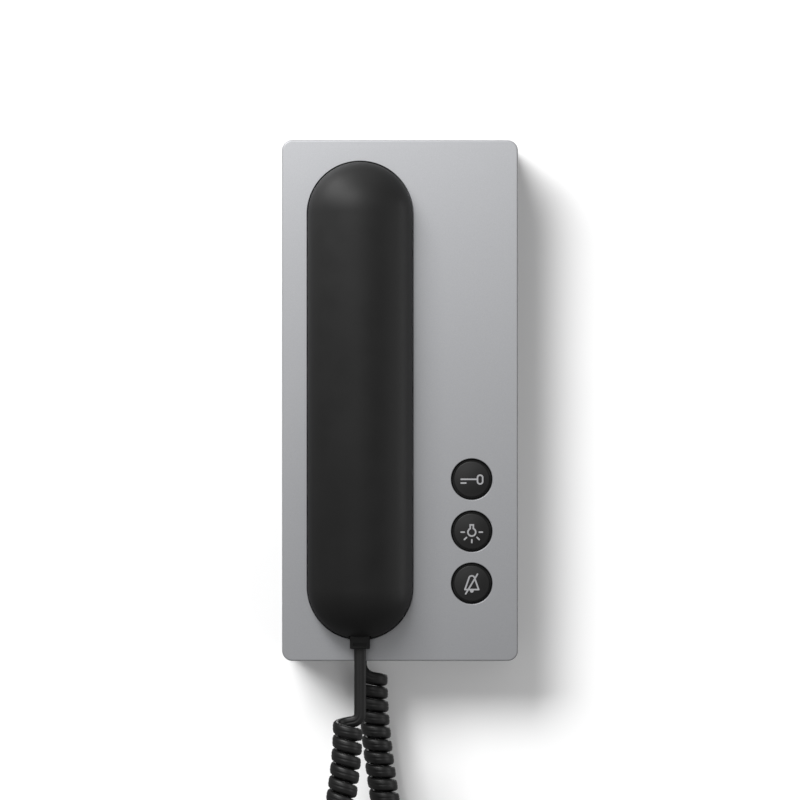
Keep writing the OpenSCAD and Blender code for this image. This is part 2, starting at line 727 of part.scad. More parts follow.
// Rear shell of the handset: flat cover with a lip, ear cup, mouth cup and the ring for the microphone
module handset_rear() color(BLACK) wall_frame() at_handset() difference() {
    lip = dome_in - fit_gap;
    union() {
        difference() {
            union() {
                translate([0, 0, cover_z]) linear_extrude(cover_t) stadium(handset_w, handset_l);
                translate([0, 0, split_z]) linear_extrude(lip_h) difference() {
                    stadium(2 * lip, 2 * (dome_y + lip));
                    stadium(2 * (lip - lip_t), 2 * (dome_y + lip - lip_t));
                }
                for (y = [-1, 1])
                    translate([0, y * cup_y, 0]) cup();
            }
            for (y = [-1, 1])
                translate([0, y * cup_y, 0]) post(cup_in_d, cup_floor, split_z + past);
        }
        translate([0, -cup_y, 0])
            post(boot_d + 2 * (fit_gap + boot_ring_t), cup_floor - cup_wall / 2, split_z);
    }
    translate([0, -cup_y, 0]) post(boot_d + 2 * fit_gap, cup_floor, split_z + past);
    translate([0, cup_y, 0]) sound_holes(2);
    translate([0, -cup_y, 0]) sound_holes(1);
    for (y = [-1, 1])
        translate([0, y * shell_screw_y, cover_z]) screw_sink();
}

// Countersunk hole in the rear shell, as deep as the cover is thick
module screw_sink() {
    translate([0, 0, -past]) cylinder(d = screw_d + 4 * fit_gap, h = cover_t + 2 * past);
    translate([0, 0, -fit_gap])
        cylinder(d1 = screw_head_d + 2 * fit_gap, d2 = screw_d + 2 * fit_gap, h = cover_t);
}

module handset_screws() color(STEEL) wall_frame()
    for (y = [-1, 1])
        at_handset(y * shell_screw_y) translate([0, 0, cover_z]) difference() {
            union() {
                cylinder(d1 = screw_head_d, d2 = screw_d, h = cover_t - fit_gap);
                cylinder(d = screw_d, h = cover_t + shell_screw_l - past);
            }
            slab(screw_head_d * 0.6, screw_d / 4, -past, screw_d / 4);
            slab(screw_d / 4, screw_head_d * 0.6, -past, screw_d / 4);
        }

module keeper_weight() color(STEEL) wall_frame() at_handset()
    translate([0, 0, split_z]) linear_extrude(weight_t) rounded(weight_w, weight_l, weight_t / 2);

// Ear speaker: frame with a dished front and a round magnet behind it
module ear_speaker() color(STEEL) wall_frame() at_handset(cup_y) difference() {
    union() {
        post(speaker_d, speaker_z, speaker_z + speaker_frame_h);
        post(speaker_magnet_d, speaker_z, speaker_back);
    }
    translate([0, 0, speaker_z - fit_gap])
        cylinder(d1 = speaker_d - gasket_w, d2 = speaker_magnet_d / 2, h = speaker_frame_h / 2);
}

module ear_gasket() color(SMOKE) wall_frame() at_handset(cup_y) difference() {
    post(speaker_d, cup_floor, speaker_z);
    post(speaker_d - 2 * gasket_w, 0, housing_d);
}

module mic_boot() color(SMOKE) wall_frame() at_handset(-cup_y) difference() {
    post(boot_d, cup_floor, cup_floor + boot_h);
    post(mic_d + fit_gap, cup_floor + boot_t, cup_floor + boot_h + past);
    post(2 * sound_hole_d, 0, cup_floor + boot_h);
}

module microphone() color(STEEL) wall_frame() at_handset(-cup_y) {
    post(mic_d, cup_floor + boot_t, cup_floor + boot_t + mic_h - boot_t / 2);
    post(mic_d * 0.8, cup_floor + boot_t, cup_floor + boot_t + mic_h);
}

// Sweeps: a tube is a list of rings of points, closed with a flat end at each side
module tube(rings) {
    n = len(rings);
    m = len(rings[0]);
    points = [for (r = rings, p = r) p];
    sides = [for (i = [0 : n - 2], j = [0 : m - 1])
        let (a = i * m + j, b = i * m + (j + 1) % m)
        each [[a, b, a + m], [b, b + m, a + m]]];
    ends = [for (j = [1 : m - 2]) each [[0, j + 1, j], [(n - 1) * m, (n - 1) * m + j, (n - 1) * m + j + 1]]];
    polyhedron(points, concat(sides, ends));
}

function unit(v) = v / norm(v);

// Ring of a section, a list of places along the width w and along the thickness, square to t
function ring(c, t, w, section) =
    let (n = cross(t, w)) [for (p = section) c + p.x * w + p.y * n];

// Round section, and the flat section of the cord
function round_section(d, sides) =
    [for (i = [0 : sides - 1]) d / 2 * [cos(360 * i / sides), sin(360 * i / sides)]];
flat_section = [[cord_w / 2, 0], [cord_w / 3.4, cord_t / 2], [-cord_w / 3.4, cord_t / 2],
    [-cord_w / 2, 0], [-cord_w / 3.4, -cord_t / 2], [cord_w / 3.4, -cord_t / 2]];

// Smooth curve through points, four steps from each to the next
function curve(p) = let (n = len(p)) concat([for (i = [0 : n - 2], s = [0 : 0.25 : 0.9])
    let (a = p[max(i - 1, 0)], b = p[i], c = p[i + 1], d = p[min(i + 2, n - 1)])
    b + s / 2 * ((c - a) + s * ((2 * a - 5 * b + 4 * c - d) + s * (3 * b - a - 3 * c + d)))], [p[n - 1]]);

// Thin wire along points, with its ends running along first and last
module wire(points, first, last) {
    path = curve(points);
    n = len(path);
    tube([for (i = [0 : n - 1])
        let (t = i == 0 ? first : i == n - 1 ? last : unit(path[i + 1] - path[i - 1]))
        ring(path[i], t, unit(cross(t, [1, 0, 0])), round_section(wire_d, 8))]);
}

// Wires in the handset, from the jack's back, measured from the handset's middle line
jack_back = handset_jack_y + jack_l;
wire_side = weight_w / 2 + wire_d;
wire_z = split_z + weight_t;
module speaker_wire() color(SMOKE) wall_frame() at_handset()
    wire([[3, jack_back, lead_z], [3, jack_back + 3, lead_z], [8, -cup_y, lead_z],
        [wire_side - 1, 12 - cup_y, wire_z + 1], [wire_side, 30 - cup_y, wire_z],
        [wire_side, 0, wire_z], [wire_side, cup_y - 30, wire_z],
        [wire_side - 1, cup_y - 16, wire_z + 1], [11.8, cup_y - 6, wire_z],
        [11.8, cup_y - 4, speaker_z + speaker_frame_h + 2], [11.8, cup_y - 4, speaker_z + speaker_frame_h]],
        [0, 1, 0], [0, 0, -1]);

module mic_wire() color(SMOKE) wall_frame() at_handset()
    wire([[-3, jack_back, lead_z], [-3, jack_back + 2, lead_z], [-2, -cup_y - 4, lead_z - 0.5],
        [-0.5, -cup_y - 1, lead_z - 2], [0, -cup_y, mic_back + 2], [0, -cup_y, mic_back]],
        [0, 1, 0], [0, 0, -1]);

// Hook spring: left-handed wire between board and plunger, its ends turned down to their seats
spring_low = board_face + 2 * spring_wire;
spring_high = hook_flange_z - hook_flange_t - 2 * spring_wire;
module hook_spring() color(STEEL) wall_frame() at_handset(hook_y) {
    steps = 8 * spring_curls;
    r = spring_d / 2;
    climb = (spring_high - spring_low) / steps;
    turns = [for (i = [0 : steps])
        let (a = 360 * i / 8, t = unit([-r * sin(a), r * cos(a), climb * 8 / (2 * PI)]))
        ring([r * cos(a), r * sin(a), spring_low + climb * i], t,
            unit([cos(a), sin(a), 0]), round_section(spring_wire, 6))];
    ends = [for (z = [board_face, board_face + spring_wire])
        ring([r, 0, z], [0, 0, 1], [1, 0, 0], round_section(spring_wire, 6))];
    heads = [for (z = [spring_high + spring_wire, spring_high + 2 * spring_wire])
        ring([r, 0, z], [0, 0, 1], [1, 0, 0], round_section(spring_wire, 6))];
    tube(concat(ends, turns, heads));
}

// Cord: straight lead with the flat side to the front
module cord_lead() color(BLACK) wall_frame()
    translate([handset_x, lead_top, lead_z]) rotate([90, 0, 0]) linear_extrude(lead_l) {
        square([cord_w - cord_t, cord_t], center = true);
        for (x = [-1, 1])
            translate([x * (cord_w - cord_t) / 2, 0]) circle(cord_t / 2);
    }

// Curly cord. The flat cord turns on edge out of its straight end into the first curl, and the
// curls follow a guide that hangs from the handset's side down to a round loop and up to the inlet.
curl_r = curl_d / 2;
slope = 10;
// Below the lead the bend is tight, and a short run leads to the first curl; at the inlet it is wide
lead_bend = curl_r * 0.7;
lead_run = (curl_r - lead_bend * (1 - sin(slope))) / cos(slope);
lead_drop = lead_bend * cos(slope) + lead_run * sin(slope);
inlet_bend = curl_r / (1 - sin(slope));
inlet_drop = inlet_bend * cos(slope);
end_run = cord_w;
guide_a = [handset_x - curl_r, lead_top - lead_l - end_run - lead_drop, lead_z + curl_r];
guide_b = [inlet_x + curl_r, tail_top - end_run - inlet_drop, tail_z - curl_r];
// Height of the loop's middle, and how far the strands spread sideways and forwards down to it
loop_y = -215;
loop_side = 11;
loop_front = 5;
loop_a = [guide_a.x - loop_side, loop_y, guide_a.z + loop_front];
loop_b = [guide_b.x + loop_side, loop_y, guide_b.z + loop_front / 5];
loop_r = norm(loop_b - loop_a) / 2;
loop_u = unit(loop_b - loop_a);
loop_v = cross(loop_u, [0, 1, 0]);

function ease(t) = t * t * (3 - 2 * t);
function strand(p, q, t) = [p.x + (q.x - p.x) * ease(t), p.y + (q.y - p.y) * t, p.z + (q.z - p.z) * ease(t)];
function loop(t) = (loop_a + loop_b) / 2 - loop_r * cos(180 * t) * loop_u - loop_r * sin(180 * t) * [0, 1, 0];
GUIDE_STEPS = 60;
guide = concat([for (i = [0 : GUIDE_STEPS - 1]) strand(guide_a, loop_a, i / GUIDE_STEPS)],
    [for (i = [0 : GUIDE_STEPS - 1]) loop(i / GUIDE_STEPS)],
    [for (i = [0 : GUIDE_STEPS]) strand(guide_b, loop_b, 1 - i / GUIDE_STEPS)]);
guide_n = len(guide);

// Curls lie close on the inside of a bend, so the pitch along the guide grows with its curvature
curl_out = curl_r + cord_t / 2;
function bend_at(i) = i < 1 || i > guide_n - 2 ? 0 :
    let (a = guide[i] - guide[i - 1], b = guide[i + 1] - guide[i])
    norm(unit(b) - unit(a)) / ((norm(a) + norm(b)) / 2);
function share(i) = norm(guide[i + 1] - guide[i]) * (1 - curl_out * (bend_at(i) + bend_at(i + 1)) / 2);
sums = [for (i = 0, s = 0; i < guide_n; s = s + (i < guide_n - 1 ? share(i) : 0), i = i + 1) s];

// Phase of the first curl, at the back of the handset's strand, and of the last, at the inlet's front
back = [0, 0, -1];
phase_a = atan2(back * loop_v, back * loop_u);
phase_b = -phase_a;
turns_total = curl_count - (phase_b - phase_a) / 360;
function along(f, k) = lookup(f * sums[guide_n - 1], [for (i = [0 : guide_n - 1]) [sums[i], guide[i][k]]]);
function guide_at(f) = [along(f, 0), along(f, 1), along(f, 2)];

// Centre of the cord at a share f of the turns, with the guide's direction there
function guide_dir(f) = unit(guide_at(min(f + 0.004, 1)) - guide_at(max(f - 0.004, 0)));
function curl_at(f) =
    let (d = guide_dir(f), n = unit(cross(loop_v, d)), b = cross(d, n), a = phase_a - 360 * turns_total * f)
    guide_at(f) + curl_r * (cos(a) * n + sin(a) * b);

// Bend on edge at the start, by angle, and at the end, from the last curl to the inlet
function start_bend(a) =
    [handset_x - lead_bend * (1 - cos(a)), guide_a.y + lead_drop - lead_bend * sin(a), lead_z];
function end_bend(a) =
    [inlet_x + inlet_bend * (1 - cos(a)), guide_b.y + inlet_drop - inlet_bend * sin(a), tail_z];

module cord_coil() color(BLACK) wall_frame() {
    steps = round(8 * turns_total);
    first = [for (y = [guide_a.y + lead_drop + end_run, guide_a.y + lead_drop])
        ring([handset_x, y, lead_z], [0, -1, 0], [1, 0, 0], flat_section)];
    turn_in = [for (a = [26, 53, 90 - slope])
        ring(start_bend(a), [-sin(a), -cos(a), 0], [cos(a), -sin(a), 0], flat_section)];
    curls = [for (i = [0 : steps - 1])
        let (f = i / steps, e = 0.02 / steps, t = unit(curl_at(f + e) - curl_at(f - e)), d = guide_dir(f))
        ring(curl_at(f), t, unit(d - (d * t) * t), flat_section)];
    turn_out = [for (a = [78, 53, 26])
        ring(end_bend(a), [-sin(a), cos(a), 0], [cos(a), sin(a), 0], flat_section)];
    last = [for (y = [guide_b.y + inlet_drop, guide_b.y + inlet_drop + end_run])
        ring([inlet_x, y, tail_z], [0, 1, 0], [1, 0, 0], flat_section)];
    rings = concat(first, turn_in, curls, turn_out, last);
    echo("least gap of the cord to itself", min(edge_gaps(rings)));
    echo("length of the cord", cord_length(rings) + lead_l);
    tube(rings);
}

// Distances from points along one edge of the cord to the facing edge of the next curl
EDGE_STEPS = 4;
function edge(r, k) = [for (i = [0 : len(r) - 2], s = [0 : EDGE_STEPS - 1])
    r[i][k] + (r[i + 1][k] - r[i][k]) * s / EDGE_STEPS];
function edge_gaps(r) = let (a = edge(r, 0), b = edge(r, 3))
    [for (i = [0 : len(a) - 1], j = [i + 5 * EDGE_STEPS : min(i + 11 * EDGE_STEPS, len(b) - 1)])
        norm(a[i] - b[j])];
function middle(r) = (r[0] + r[3]) / 2;
function cord_length(r, i = 1, s = 0) =
    i == len(r) ? s : cord_length(r, i + 1, s + norm(middle(r[i]) - middle(r[i - 1])));

wall_plate();
housing();
main_board();
board_screws();
board_components();
terminal_block();
terminal_screws();
call_sounder();
hook_switch();
hook_spring();
hook_plunger();
cradle_magnet();
door_dome();
light_dome();
mute_dome();
door_button();
light_button();
mute_button();
door_sign();
light_sign();
mute_sign();
base_jack();
base_plug();
base_plug_blades();
handset_front();
handset_rear();
handset_screws();
keeper_weight();
ear_speaker();
ear_gasket();
microphone();
mic_boot();
handset_jack();
handset_plug();
handset_plug_blades();
speaker_wire();
mic_wire();
cord_lead();
cord_coil();
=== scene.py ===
# %% [markdown]
# # A wall intercom with a lift-off handset
#
# The object is a flat silver housing on a wall. A black half-round handset lies in a pocket on its
# left, three round buttons sit on its right, and a curly cord hangs from the handset in a loop
# and goes back up into the housing. This lesson dresses the CAD frame of that object: the frame
# gives every piece its place, and the pieces that show are modelled again with softer edges and
# real finishes.

import json
from math import atan2, cos, hypot, pi, radians, sin

import bmesh
import bpy
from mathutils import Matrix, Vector
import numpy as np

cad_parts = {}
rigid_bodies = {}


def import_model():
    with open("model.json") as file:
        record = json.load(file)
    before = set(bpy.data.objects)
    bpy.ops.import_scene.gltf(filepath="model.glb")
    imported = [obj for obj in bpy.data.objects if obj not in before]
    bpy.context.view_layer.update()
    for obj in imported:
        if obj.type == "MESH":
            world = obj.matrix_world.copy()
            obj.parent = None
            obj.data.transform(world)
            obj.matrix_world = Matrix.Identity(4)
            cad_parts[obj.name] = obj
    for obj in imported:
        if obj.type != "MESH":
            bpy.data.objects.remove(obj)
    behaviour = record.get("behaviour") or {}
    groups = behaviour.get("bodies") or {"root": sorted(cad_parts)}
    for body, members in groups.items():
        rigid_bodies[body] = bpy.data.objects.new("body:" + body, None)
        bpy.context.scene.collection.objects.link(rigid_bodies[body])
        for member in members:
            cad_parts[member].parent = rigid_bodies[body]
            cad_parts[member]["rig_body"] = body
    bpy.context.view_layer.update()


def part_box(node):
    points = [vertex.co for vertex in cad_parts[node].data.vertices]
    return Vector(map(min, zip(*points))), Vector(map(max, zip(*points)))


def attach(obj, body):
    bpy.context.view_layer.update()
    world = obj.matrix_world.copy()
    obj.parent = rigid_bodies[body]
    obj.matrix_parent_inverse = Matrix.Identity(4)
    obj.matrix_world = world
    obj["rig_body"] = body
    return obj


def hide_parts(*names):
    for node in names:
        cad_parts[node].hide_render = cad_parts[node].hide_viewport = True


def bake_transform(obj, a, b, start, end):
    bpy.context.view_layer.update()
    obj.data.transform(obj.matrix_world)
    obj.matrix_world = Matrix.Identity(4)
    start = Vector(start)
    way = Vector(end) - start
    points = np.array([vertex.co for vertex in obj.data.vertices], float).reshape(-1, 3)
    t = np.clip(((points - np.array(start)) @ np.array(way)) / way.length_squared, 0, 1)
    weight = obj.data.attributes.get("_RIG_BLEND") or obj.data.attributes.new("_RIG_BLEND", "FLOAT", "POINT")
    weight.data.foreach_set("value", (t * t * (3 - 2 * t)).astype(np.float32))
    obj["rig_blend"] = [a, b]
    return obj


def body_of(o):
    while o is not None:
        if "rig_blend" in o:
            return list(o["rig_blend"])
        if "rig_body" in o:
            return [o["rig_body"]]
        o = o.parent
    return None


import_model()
MM = 0.001


def span(node):
    """A CAD node's low and high corner in millimetres: x, out of the wall, height."""
    low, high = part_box(node)
    return Vector((low.x, -high.y, low.z)) / MM, Vector((high.x, -low.y, high.z)) / MM


housing_low, housing_high = span("housing")
WIDE, TALL = housing_high.x - housing_low.x, housing_high.z - housing_low.z
FRONT = housing_high.y


# %% [markdown]
# ## The camera
#
# The photograph looks straight at the housing, and none of its sides shows. A long lens far away
# gives that flat view. One pixel of the photograph is 0.3858 mm on the housing's front face, so
# the 800 pixels across are 308.6 mm there, and the lens follows from the distance.

# %% Set the camera
PIXEL = 0.3858 * MM
PHOTO_SIDE = 800
DISTANCE = 1.2
SENSOR = 36


def add_object(name, data):
    """A new object in the scene."""
    item = bpy.data.objects.new(name, data)
    bpy.context.scene.collection.objects.link(item)
    return item


camera = add_object("camera", bpy.data.cameras.new("camera"))
camera.location = (0, -FRONT * MM - DISTANCE, 0.5 * PIXEL)
camera.rotation_euler = (pi / 2, 0, 0)
camera.data.sensor_width = SENSOR
camera.data.lens = SENSOR * DISTANCE / (PHOTO_SIDE * PIXEL)
bpy.context.scene.camera = camera
print("lens", round(camera.data.lens, 1), "mm")


# %% [markdown]
# ## The route of the curly cord
#
# The cord is a flat sheath about 4.5 mm wide and 2.4 mm thick. A straight lead comes down from the
# plug, bends tightly on edge into the first curl, and 48 curls follow a guide line: down on the left,
# round a loop below the picture, and up behind the lead to the housing. The guide and the curls are the
# same formulas as in the CAD source, in millimetres: x to the right, y up, z out of the wall.

# %% Guide line of the cord
PLUG_T = 6.2
plug_low, plug_high = span("handset_plug")
inlet_low, inlet_high = span("base_plug")
lead_low, lead_high = span("cord_lead")
HANDSET_X, INLET_X = (plug_low.x + plug_high.x) / 2, (inlet_low.x + inlet_high.x) / 2
LEAD_TOP, INLET_TOP = plug_low.z, inlet_low.z
LEAD_OUT, INLET_OUT = plug_high.y - PLUG_T / 2, inlet_high.y - PLUG_T / 2
CORD_W, CORD_T, LEAD_LENGTH = lead_high.x - lead_low.x, lead_high.y - lead_low.y, lead_high.z - lead_low.z
CURL_R = 4.6
CURLS = 48
SLOPE = radians(10)
LEAD_BEND = 0.7 * CURL_R
LEAD_RUN = (CURL_R - LEAD_BEND * (1 - sin(SLOPE))) / cos(SLOPE)
LEAD_DROP = LEAD_BEND * cos(SLOPE) + LEAD_RUN * sin(SLOPE)
INLET_BEND = CURL_R / (1 - sin(SLOPE))
INLET_DROP = INLET_BEND * cos(SLOPE)
LOOP_UP, LOOP_SIDE, LOOP_FRONT = -215, 11, 5
RIGHT, UP = Vector((1, 0, 0)), Vector((0, 1, 0))

guide_a = Vector((HANDSET_X - CURL_R, LEAD_TOP - LEAD_LENGTH - CORD_W - LEAD_DROP, LEAD_OUT + CURL_R))
guide_b = Vector((INLET_X + CURL_R, INLET_TOP - CORD_W - INLET_DROP, INLET_OUT - CURL_R))
loop_a = Vector((guide_a.x - LOOP_SIDE, LOOP_UP, guide_a.z + LOOP_FRONT))
loop_b = Vector((guide_b.x + LOOP_SIDE, LOOP_UP, guide_b.z + LOOP_FRONT / 5))
loop_r = (loop_b - loop_a).length / 2
loop_u = (loop_b - loop_a).normalized()
loop_v = loop_u.cross(UP)


def strand(start, end, t):
    """A hanging strand: it drops evenly and drifts sideways softly."""
    soft = t * t * (3 - 2 * t)
    drift = start.lerp(end, soft)
    return Vector((drift.x, start.y + (end.y - start.y) * t, drift.z))


def half_loop(t):
    """The half circle that joins the two strands."""
    turn = pi * t
    return (loop_a + loop_b) / 2 - loop_r * (cos(turn) * loop_u + sin(turn) * UP)


STEPS = 60
guide = [strand(guide_a, loop_a, i / STEPS) for i in range(STEPS)]
guide += [half_loop(i / STEPS) for i in range(STEPS)]
guide += [strand(guide_b, loop_b, 1 - i / STEPS) for i in range(STEPS + 1)]
print("guide points:", len(guide), "loop radius:", round(loop_r, 1), "mm")


# %% [markdown]
# ## Curls along the guide
#
# On the inside of a bend the curls lie closer, so each step of the guide takes a share of the turns
# that shrinks with its curvature. Walking along those shares while turning round the guide gives
# the cord's centre line. The width of the sheath stays in line with the guide, which is what makes
# the coil look like a stack of flat bands.

# %% Shares of the turns
def bend_at(i):
    """How sharply the guide turns at a point, as one over the radius."""
    if i < 1 or i > len(guide) - 2:
        return 0
    before, after = guide[i] - guide[i - 1], guide[i + 1] - guide[i]
    return (after.normalized() - before.normalized()).length / ((before.length + after.length) / 2)


sums = [0]
for i in range(len(guide) - 1):
    tightness = (CURL_R + CORD_T / 2) * (bend_at(i) + bend_at(i + 1)) / 2
    sums.append(sums[-1] + (guide[i + 1] - guide[i]).length * (1 - tightness))


def guide_at(share):
    """The point of the guide after a share of all turns."""
    goal = min(max(share, 0), 1) * sums[-1]
    i = max(k for k in range(len(sums) - 1) if sums[k] <= goal)
    return guide[i].lerp(guide[i + 1], (goal - sums[i]) / (sums[i + 1] - sums[i]))


LOOK = 0.004


def guide_direction(share):
    """The way the guide runs after a share of all turns."""
    return (guide_at(share + LOOK) - guide_at(share - LOOK)).normalized()


print("guide shortened by its bends to", round(sums[-1], 1), "mm")


# %% Centre line of the cord
BACK = Vector((0, 0, -1))
phase_a = atan2(BACK.dot(loop_v), BACK.dot(loop_u))
turns = CURLS + 2 * phase_a / (2 * pi)


def curl_at(share):
    """The cord's centre after a share of the turns."""
    along = guide_direction(share)
    side = loop_v.cross(along).normalized()
    angle = phase_a - 2 * pi * turns * share
    return guide_at(share) + CURL_R * (cos(angle) * side + sin(angle) * along.cross(side))


# Each station holds the centre, the way the cord runs and the way its width lies
IN_PLUG = 1.2
LEAD_RINGS, INLET_RINGS, RINGS_A_CURL = 12, 4, 28
stations = []
for step in range(LEAD_RINGS):
    up = LEAD_TOP + IN_PLUG - (LEAD_LENGTH + CORD_W + IN_PLUG) * step / LEAD_RINGS
    stations.append((Vector((HANDSET_X, up, LEAD_OUT)), -UP, RIGHT))
for degrees in range(0, 81, 8):
    c, s = cos(radians(degrees)), sin(radians(degrees))
    centre = Vector((HANDSET_X - LEAD_BEND * (1 - c), guide_a.y + LEAD_DROP - LEAD_BEND * s, LEAD_OUT))
    stations.append((centre, Vector((-s, -c, 0)), Vector((c, -s, 0))))
CURL_RINGS = round(RINGS_A_CURL * turns)
nudge = 0.02 / CURL_RINGS
for step in range(CURL_RINGS + 1):
    share = step / CURL_RINGS
    run = (curl_at(share + nudge) - curl_at(share - nudge)).normalized()
    along = guide_direction(share)
    stations.append((curl_at(share), run, (along - along.dot(run) * run).normalized()))
for degrees in range(75, -1, -5):
    c, s = cos(radians(degrees)), sin(radians(degrees))
    centre = Vector((INLET_X + INLET_BEND * (1 - c), guide_b.y + INLET_DROP - INLET_BEND * s, INLET_OUT))
    stations.append((centre, Vector((-s, c, 0)), Vector((c, s, 0))))
for step in range(1, INLET_RINGS + 1):
    up = guide_b.y + INLET_DROP + (CORD_W + IN_PLUG) * step / INLET_RINGS
    stations.append((Vector((INLET_X, up, INLET_OUT)), UP, RIGHT))
print("cord stations:", len(stations))


# %% Length of the cord
def upright(point):
    """From the drawing's x, y up, z out to the scene's metres."""
    return Vector((point.x, -point.z, point.y)) * MM


def path_of(part):
    """The centre line of a stretch of the cord in metres."""
    return [upright(centre) for centre, run, width in part]


def length_of(part):
    """The length of a stretch of the cord in metres."""
    path = path_of(part)
    return sum((b - a).length for a, b in zip(path, path[1:]))


print("cord length:", round(length_of(stations), 3), "m")


# %% [markdown]
# ## The sheath of the cord
#
# Four cores lie side by side in the sheath, and they show as shallow ridges along its flat sides.
# The section is drawn once, with half-round edges and three grooves a side, and is set square to
# the run at each station. Neighbouring rings are joined with quads and the two ends are closed.
#
# One end of the cord goes with the handset and the other stays at the housing. The cord is therefore
# swept as two halves that meet at the foot of the loop, on the side of a curl, where the cord runs
# straight up or down and its cut end lies level. Each half can then lean along its own height.

# %% Sweep the sheath
RIDGES = 4
GROOVE = 0.09
FLAT_STEPS, EDGE_STEPS = 7, 6
section = []
for side in (1, -1):
    for k in range(-FLAT_STEPS, FLAT_STEPS + 1):
        across = side * -k / FLAT_STEPS * (CORD_W - CORD_T) / 2
        ridge = GROOVE * (0.5 - 0.5 * cos(2 * pi * RIDGES * (across / CORD_W + 0.5)))
        section.append((across, side * (CORD_T / 2 - GROOVE + ridge)))
    for k in range(1, EDGE_STEPS):
        turn = pi * k / EDGE_STEPS
        across = side * (-(CORD_W - CORD_T) / 2 - CORD_T / 2 * sin(turn))
        section.append((across, side * (CORD_T / 2 - GROOVE / 2) * cos(turn)))


def swept_sheath(name, part):
    """A stretch of the cord with closed ends."""
    points, faces = [], []
    count = len(section)
    for centre, run, width in part:
        thick = run.cross(width)
        points += [upright(centre + u * width + v * thick) for u, v in section]
    for ring in range(len(part) - 1):
        for k in range(count):
            a, b = ring * count + k, ring * count + (k + 1) % count
            faces.append((b, b + count, a + count, a))
    faces.append(tuple(reversed(range(count))))
    faces.append(tuple(range(len(points) - count, len(points))))
    mesh = bpy.data.meshes.new(name)
    mesh.from_pydata(points, [], faces)
    print(name, "faces:", len(faces), "length:", round(length_of(part), 3), "m")
    return add_object(name, mesh)


lowest = min(range(len(stations)), key=lambda i: stations[i][0].y)
half_turn = RINGS_A_CURL // 2
foot = max(range(lowest - half_turn, lowest + half_turn), key=lambda i: abs(stations[i][1].y))
front_part, rear_part = stations[: foot + 1], stations[foot:]
front_half = swept_sheath("cord_front_half", front_part)
rear_half = swept_sheath("cord_rear_half", rear_part)


# %% [markdown]
# ## Working by hand
#
# The hard pieces are modelled as one would by hand: a primitive is added, opened in edit mode, some
# of its faces or edges are picked by their place, and an operator changes them. Operators act on all
# that is selected, so these few helpers keep the selection clean. Places are given in millimetres as
# x, distance out of the wall, and height.

# %% Helpers for selecting
def spot(x, out, up):
    """A place in the scene from millimetres: x to the right, out of the wall, up."""
    return (x * MM, -out * MM, up * MM)


def leave_edit():
    """Object mode with nothing selected."""
    if bpy.context.mode != "OBJECT":
        bpy.ops.object.mode_set(mode="OBJECT")
    bpy.ops.object.select_all(action="DESELECT")


def take(piece):
    """Object mode with one piece selected and active."""
    leave_edit()
    piece.select_set(True)
    bpy.context.view_layer.objects.active = piece


def pick(piece, kind, test):
    """In edit mode, selects just the verts, edges or faces that pass a test."""
    bpy.ops.mesh.select_mode(type={"verts": "VERT", "edges": "EDGE", "faces": "FACE"}[kind])
    bpy.ops.mesh.select_all(action="DESELECT")
    cage = bmesh.from_edit_mesh(piece.data)
    chosen = [item for item in getattr(cage, kind) if test(item)]
    for item in chosen:
        item.select_set(True)
    cage.select_flush_mode()
    bmesh.update_edit_mesh(piece.data)
    return len(chosen)


def lies_at(out):
    """A test whether an edge lies at a distance from the wall."""
    return lambda edge: all(abs(v.co.y + out * MM) < 1e-6 for v in edge.verts)


print("distances are in", MM, "m")


# %% Helpers for editing
def begin(name, add, **settings):
    """Adds a primitive, applies its place to its mesh and opens it in edit mode."""
    leave_edit()
    add(**settings)
    piece = bpy.context.object
    piece.name = piece.data.name = name
    bpy.ops.object.transform_apply()
    bpy.ops.object.mode_set(mode="EDIT")
    return piece


def open_edit(piece):
    """Opens a piece in edit mode again."""
    take(piece)
    bpy.ops.object.mode_set(mode="EDIT")


def bevel(size, segments):
    """Rounds the selected edges by a size in millimetres."""
    bpy.ops.mesh.bevel(offset=size * MM, segments=segments, affect="EDGES")


def extrude(*move):
    """Draws the selection out by millimetres: to the right, out of the wall, up."""
    bpy.ops.mesh.extrude_region_move(TRANSFORM_OT_translate={"value": spot(*move)})


SMOOTH = 32


def close_edit(piece, angle=SMOOTH):
    """Merges doubles, turns the faces outwards, and shades softly up to an angle."""
    bpy.ops.mesh.select_all(action="SELECT")
    bpy.ops.mesh.remove_doubles(threshold=1e-7)
    bpy.ops.mesh.normals_make_consistent(inside=False)
    take(piece)
    bpy.ops.object.shade_smooth_by_angle(angle=radians(angle))
    return piece


print("faces are shaded softly up to", SMOOTH, "degrees")


# %% Helpers that use modifiers
def use_modifier(piece, kind, **settings):
    """Adds a modifier with its settings and applies it at once."""
    take(piece)
    bpy.ops.object.modifier_add(type=kind)
    modifier = piece.modifiers[-1]
    for key, value in settings.items():
        setattr(modifier, key, value)
    bpy.ops.object.modifier_apply(modifier=modifier.name)


def carve(piece, tool, operation="DIFFERENCE"):
    """Cuts a tool out of a piece and puts the tool away."""
    use_modifier(piece, "BOOLEAN", object=tool, operation=operation, solver="MANIFOLD")
    take(tool)
    bpy.ops.object.delete()


def weld(piece, tool):
    """Joins a tool to a piece."""
    carve(piece, tool, "UNION")


def copied(piece, name, move):
    """A copy with a name of its own, moved by millimetres."""
    take(piece)
    bpy.ops.object.duplicate()
    copy = bpy.context.object
    copy.name = copy.data.name = name
    copy.location = spot(*move)
    bpy.ops.object.transform_apply()
    return copy


def settle(piece):
    """Keeps flat faces flat beside roundings, and splits the many-sided faces that carving leaves."""
    use_modifier(piece, "WEIGHTED_NORMAL", keep_sharp=True)
    use_modifier(piece, "TRIANGULATE", min_vertices=5, keep_custom_normals=True)


print("carving cuts with a boolean, welding joins with one")


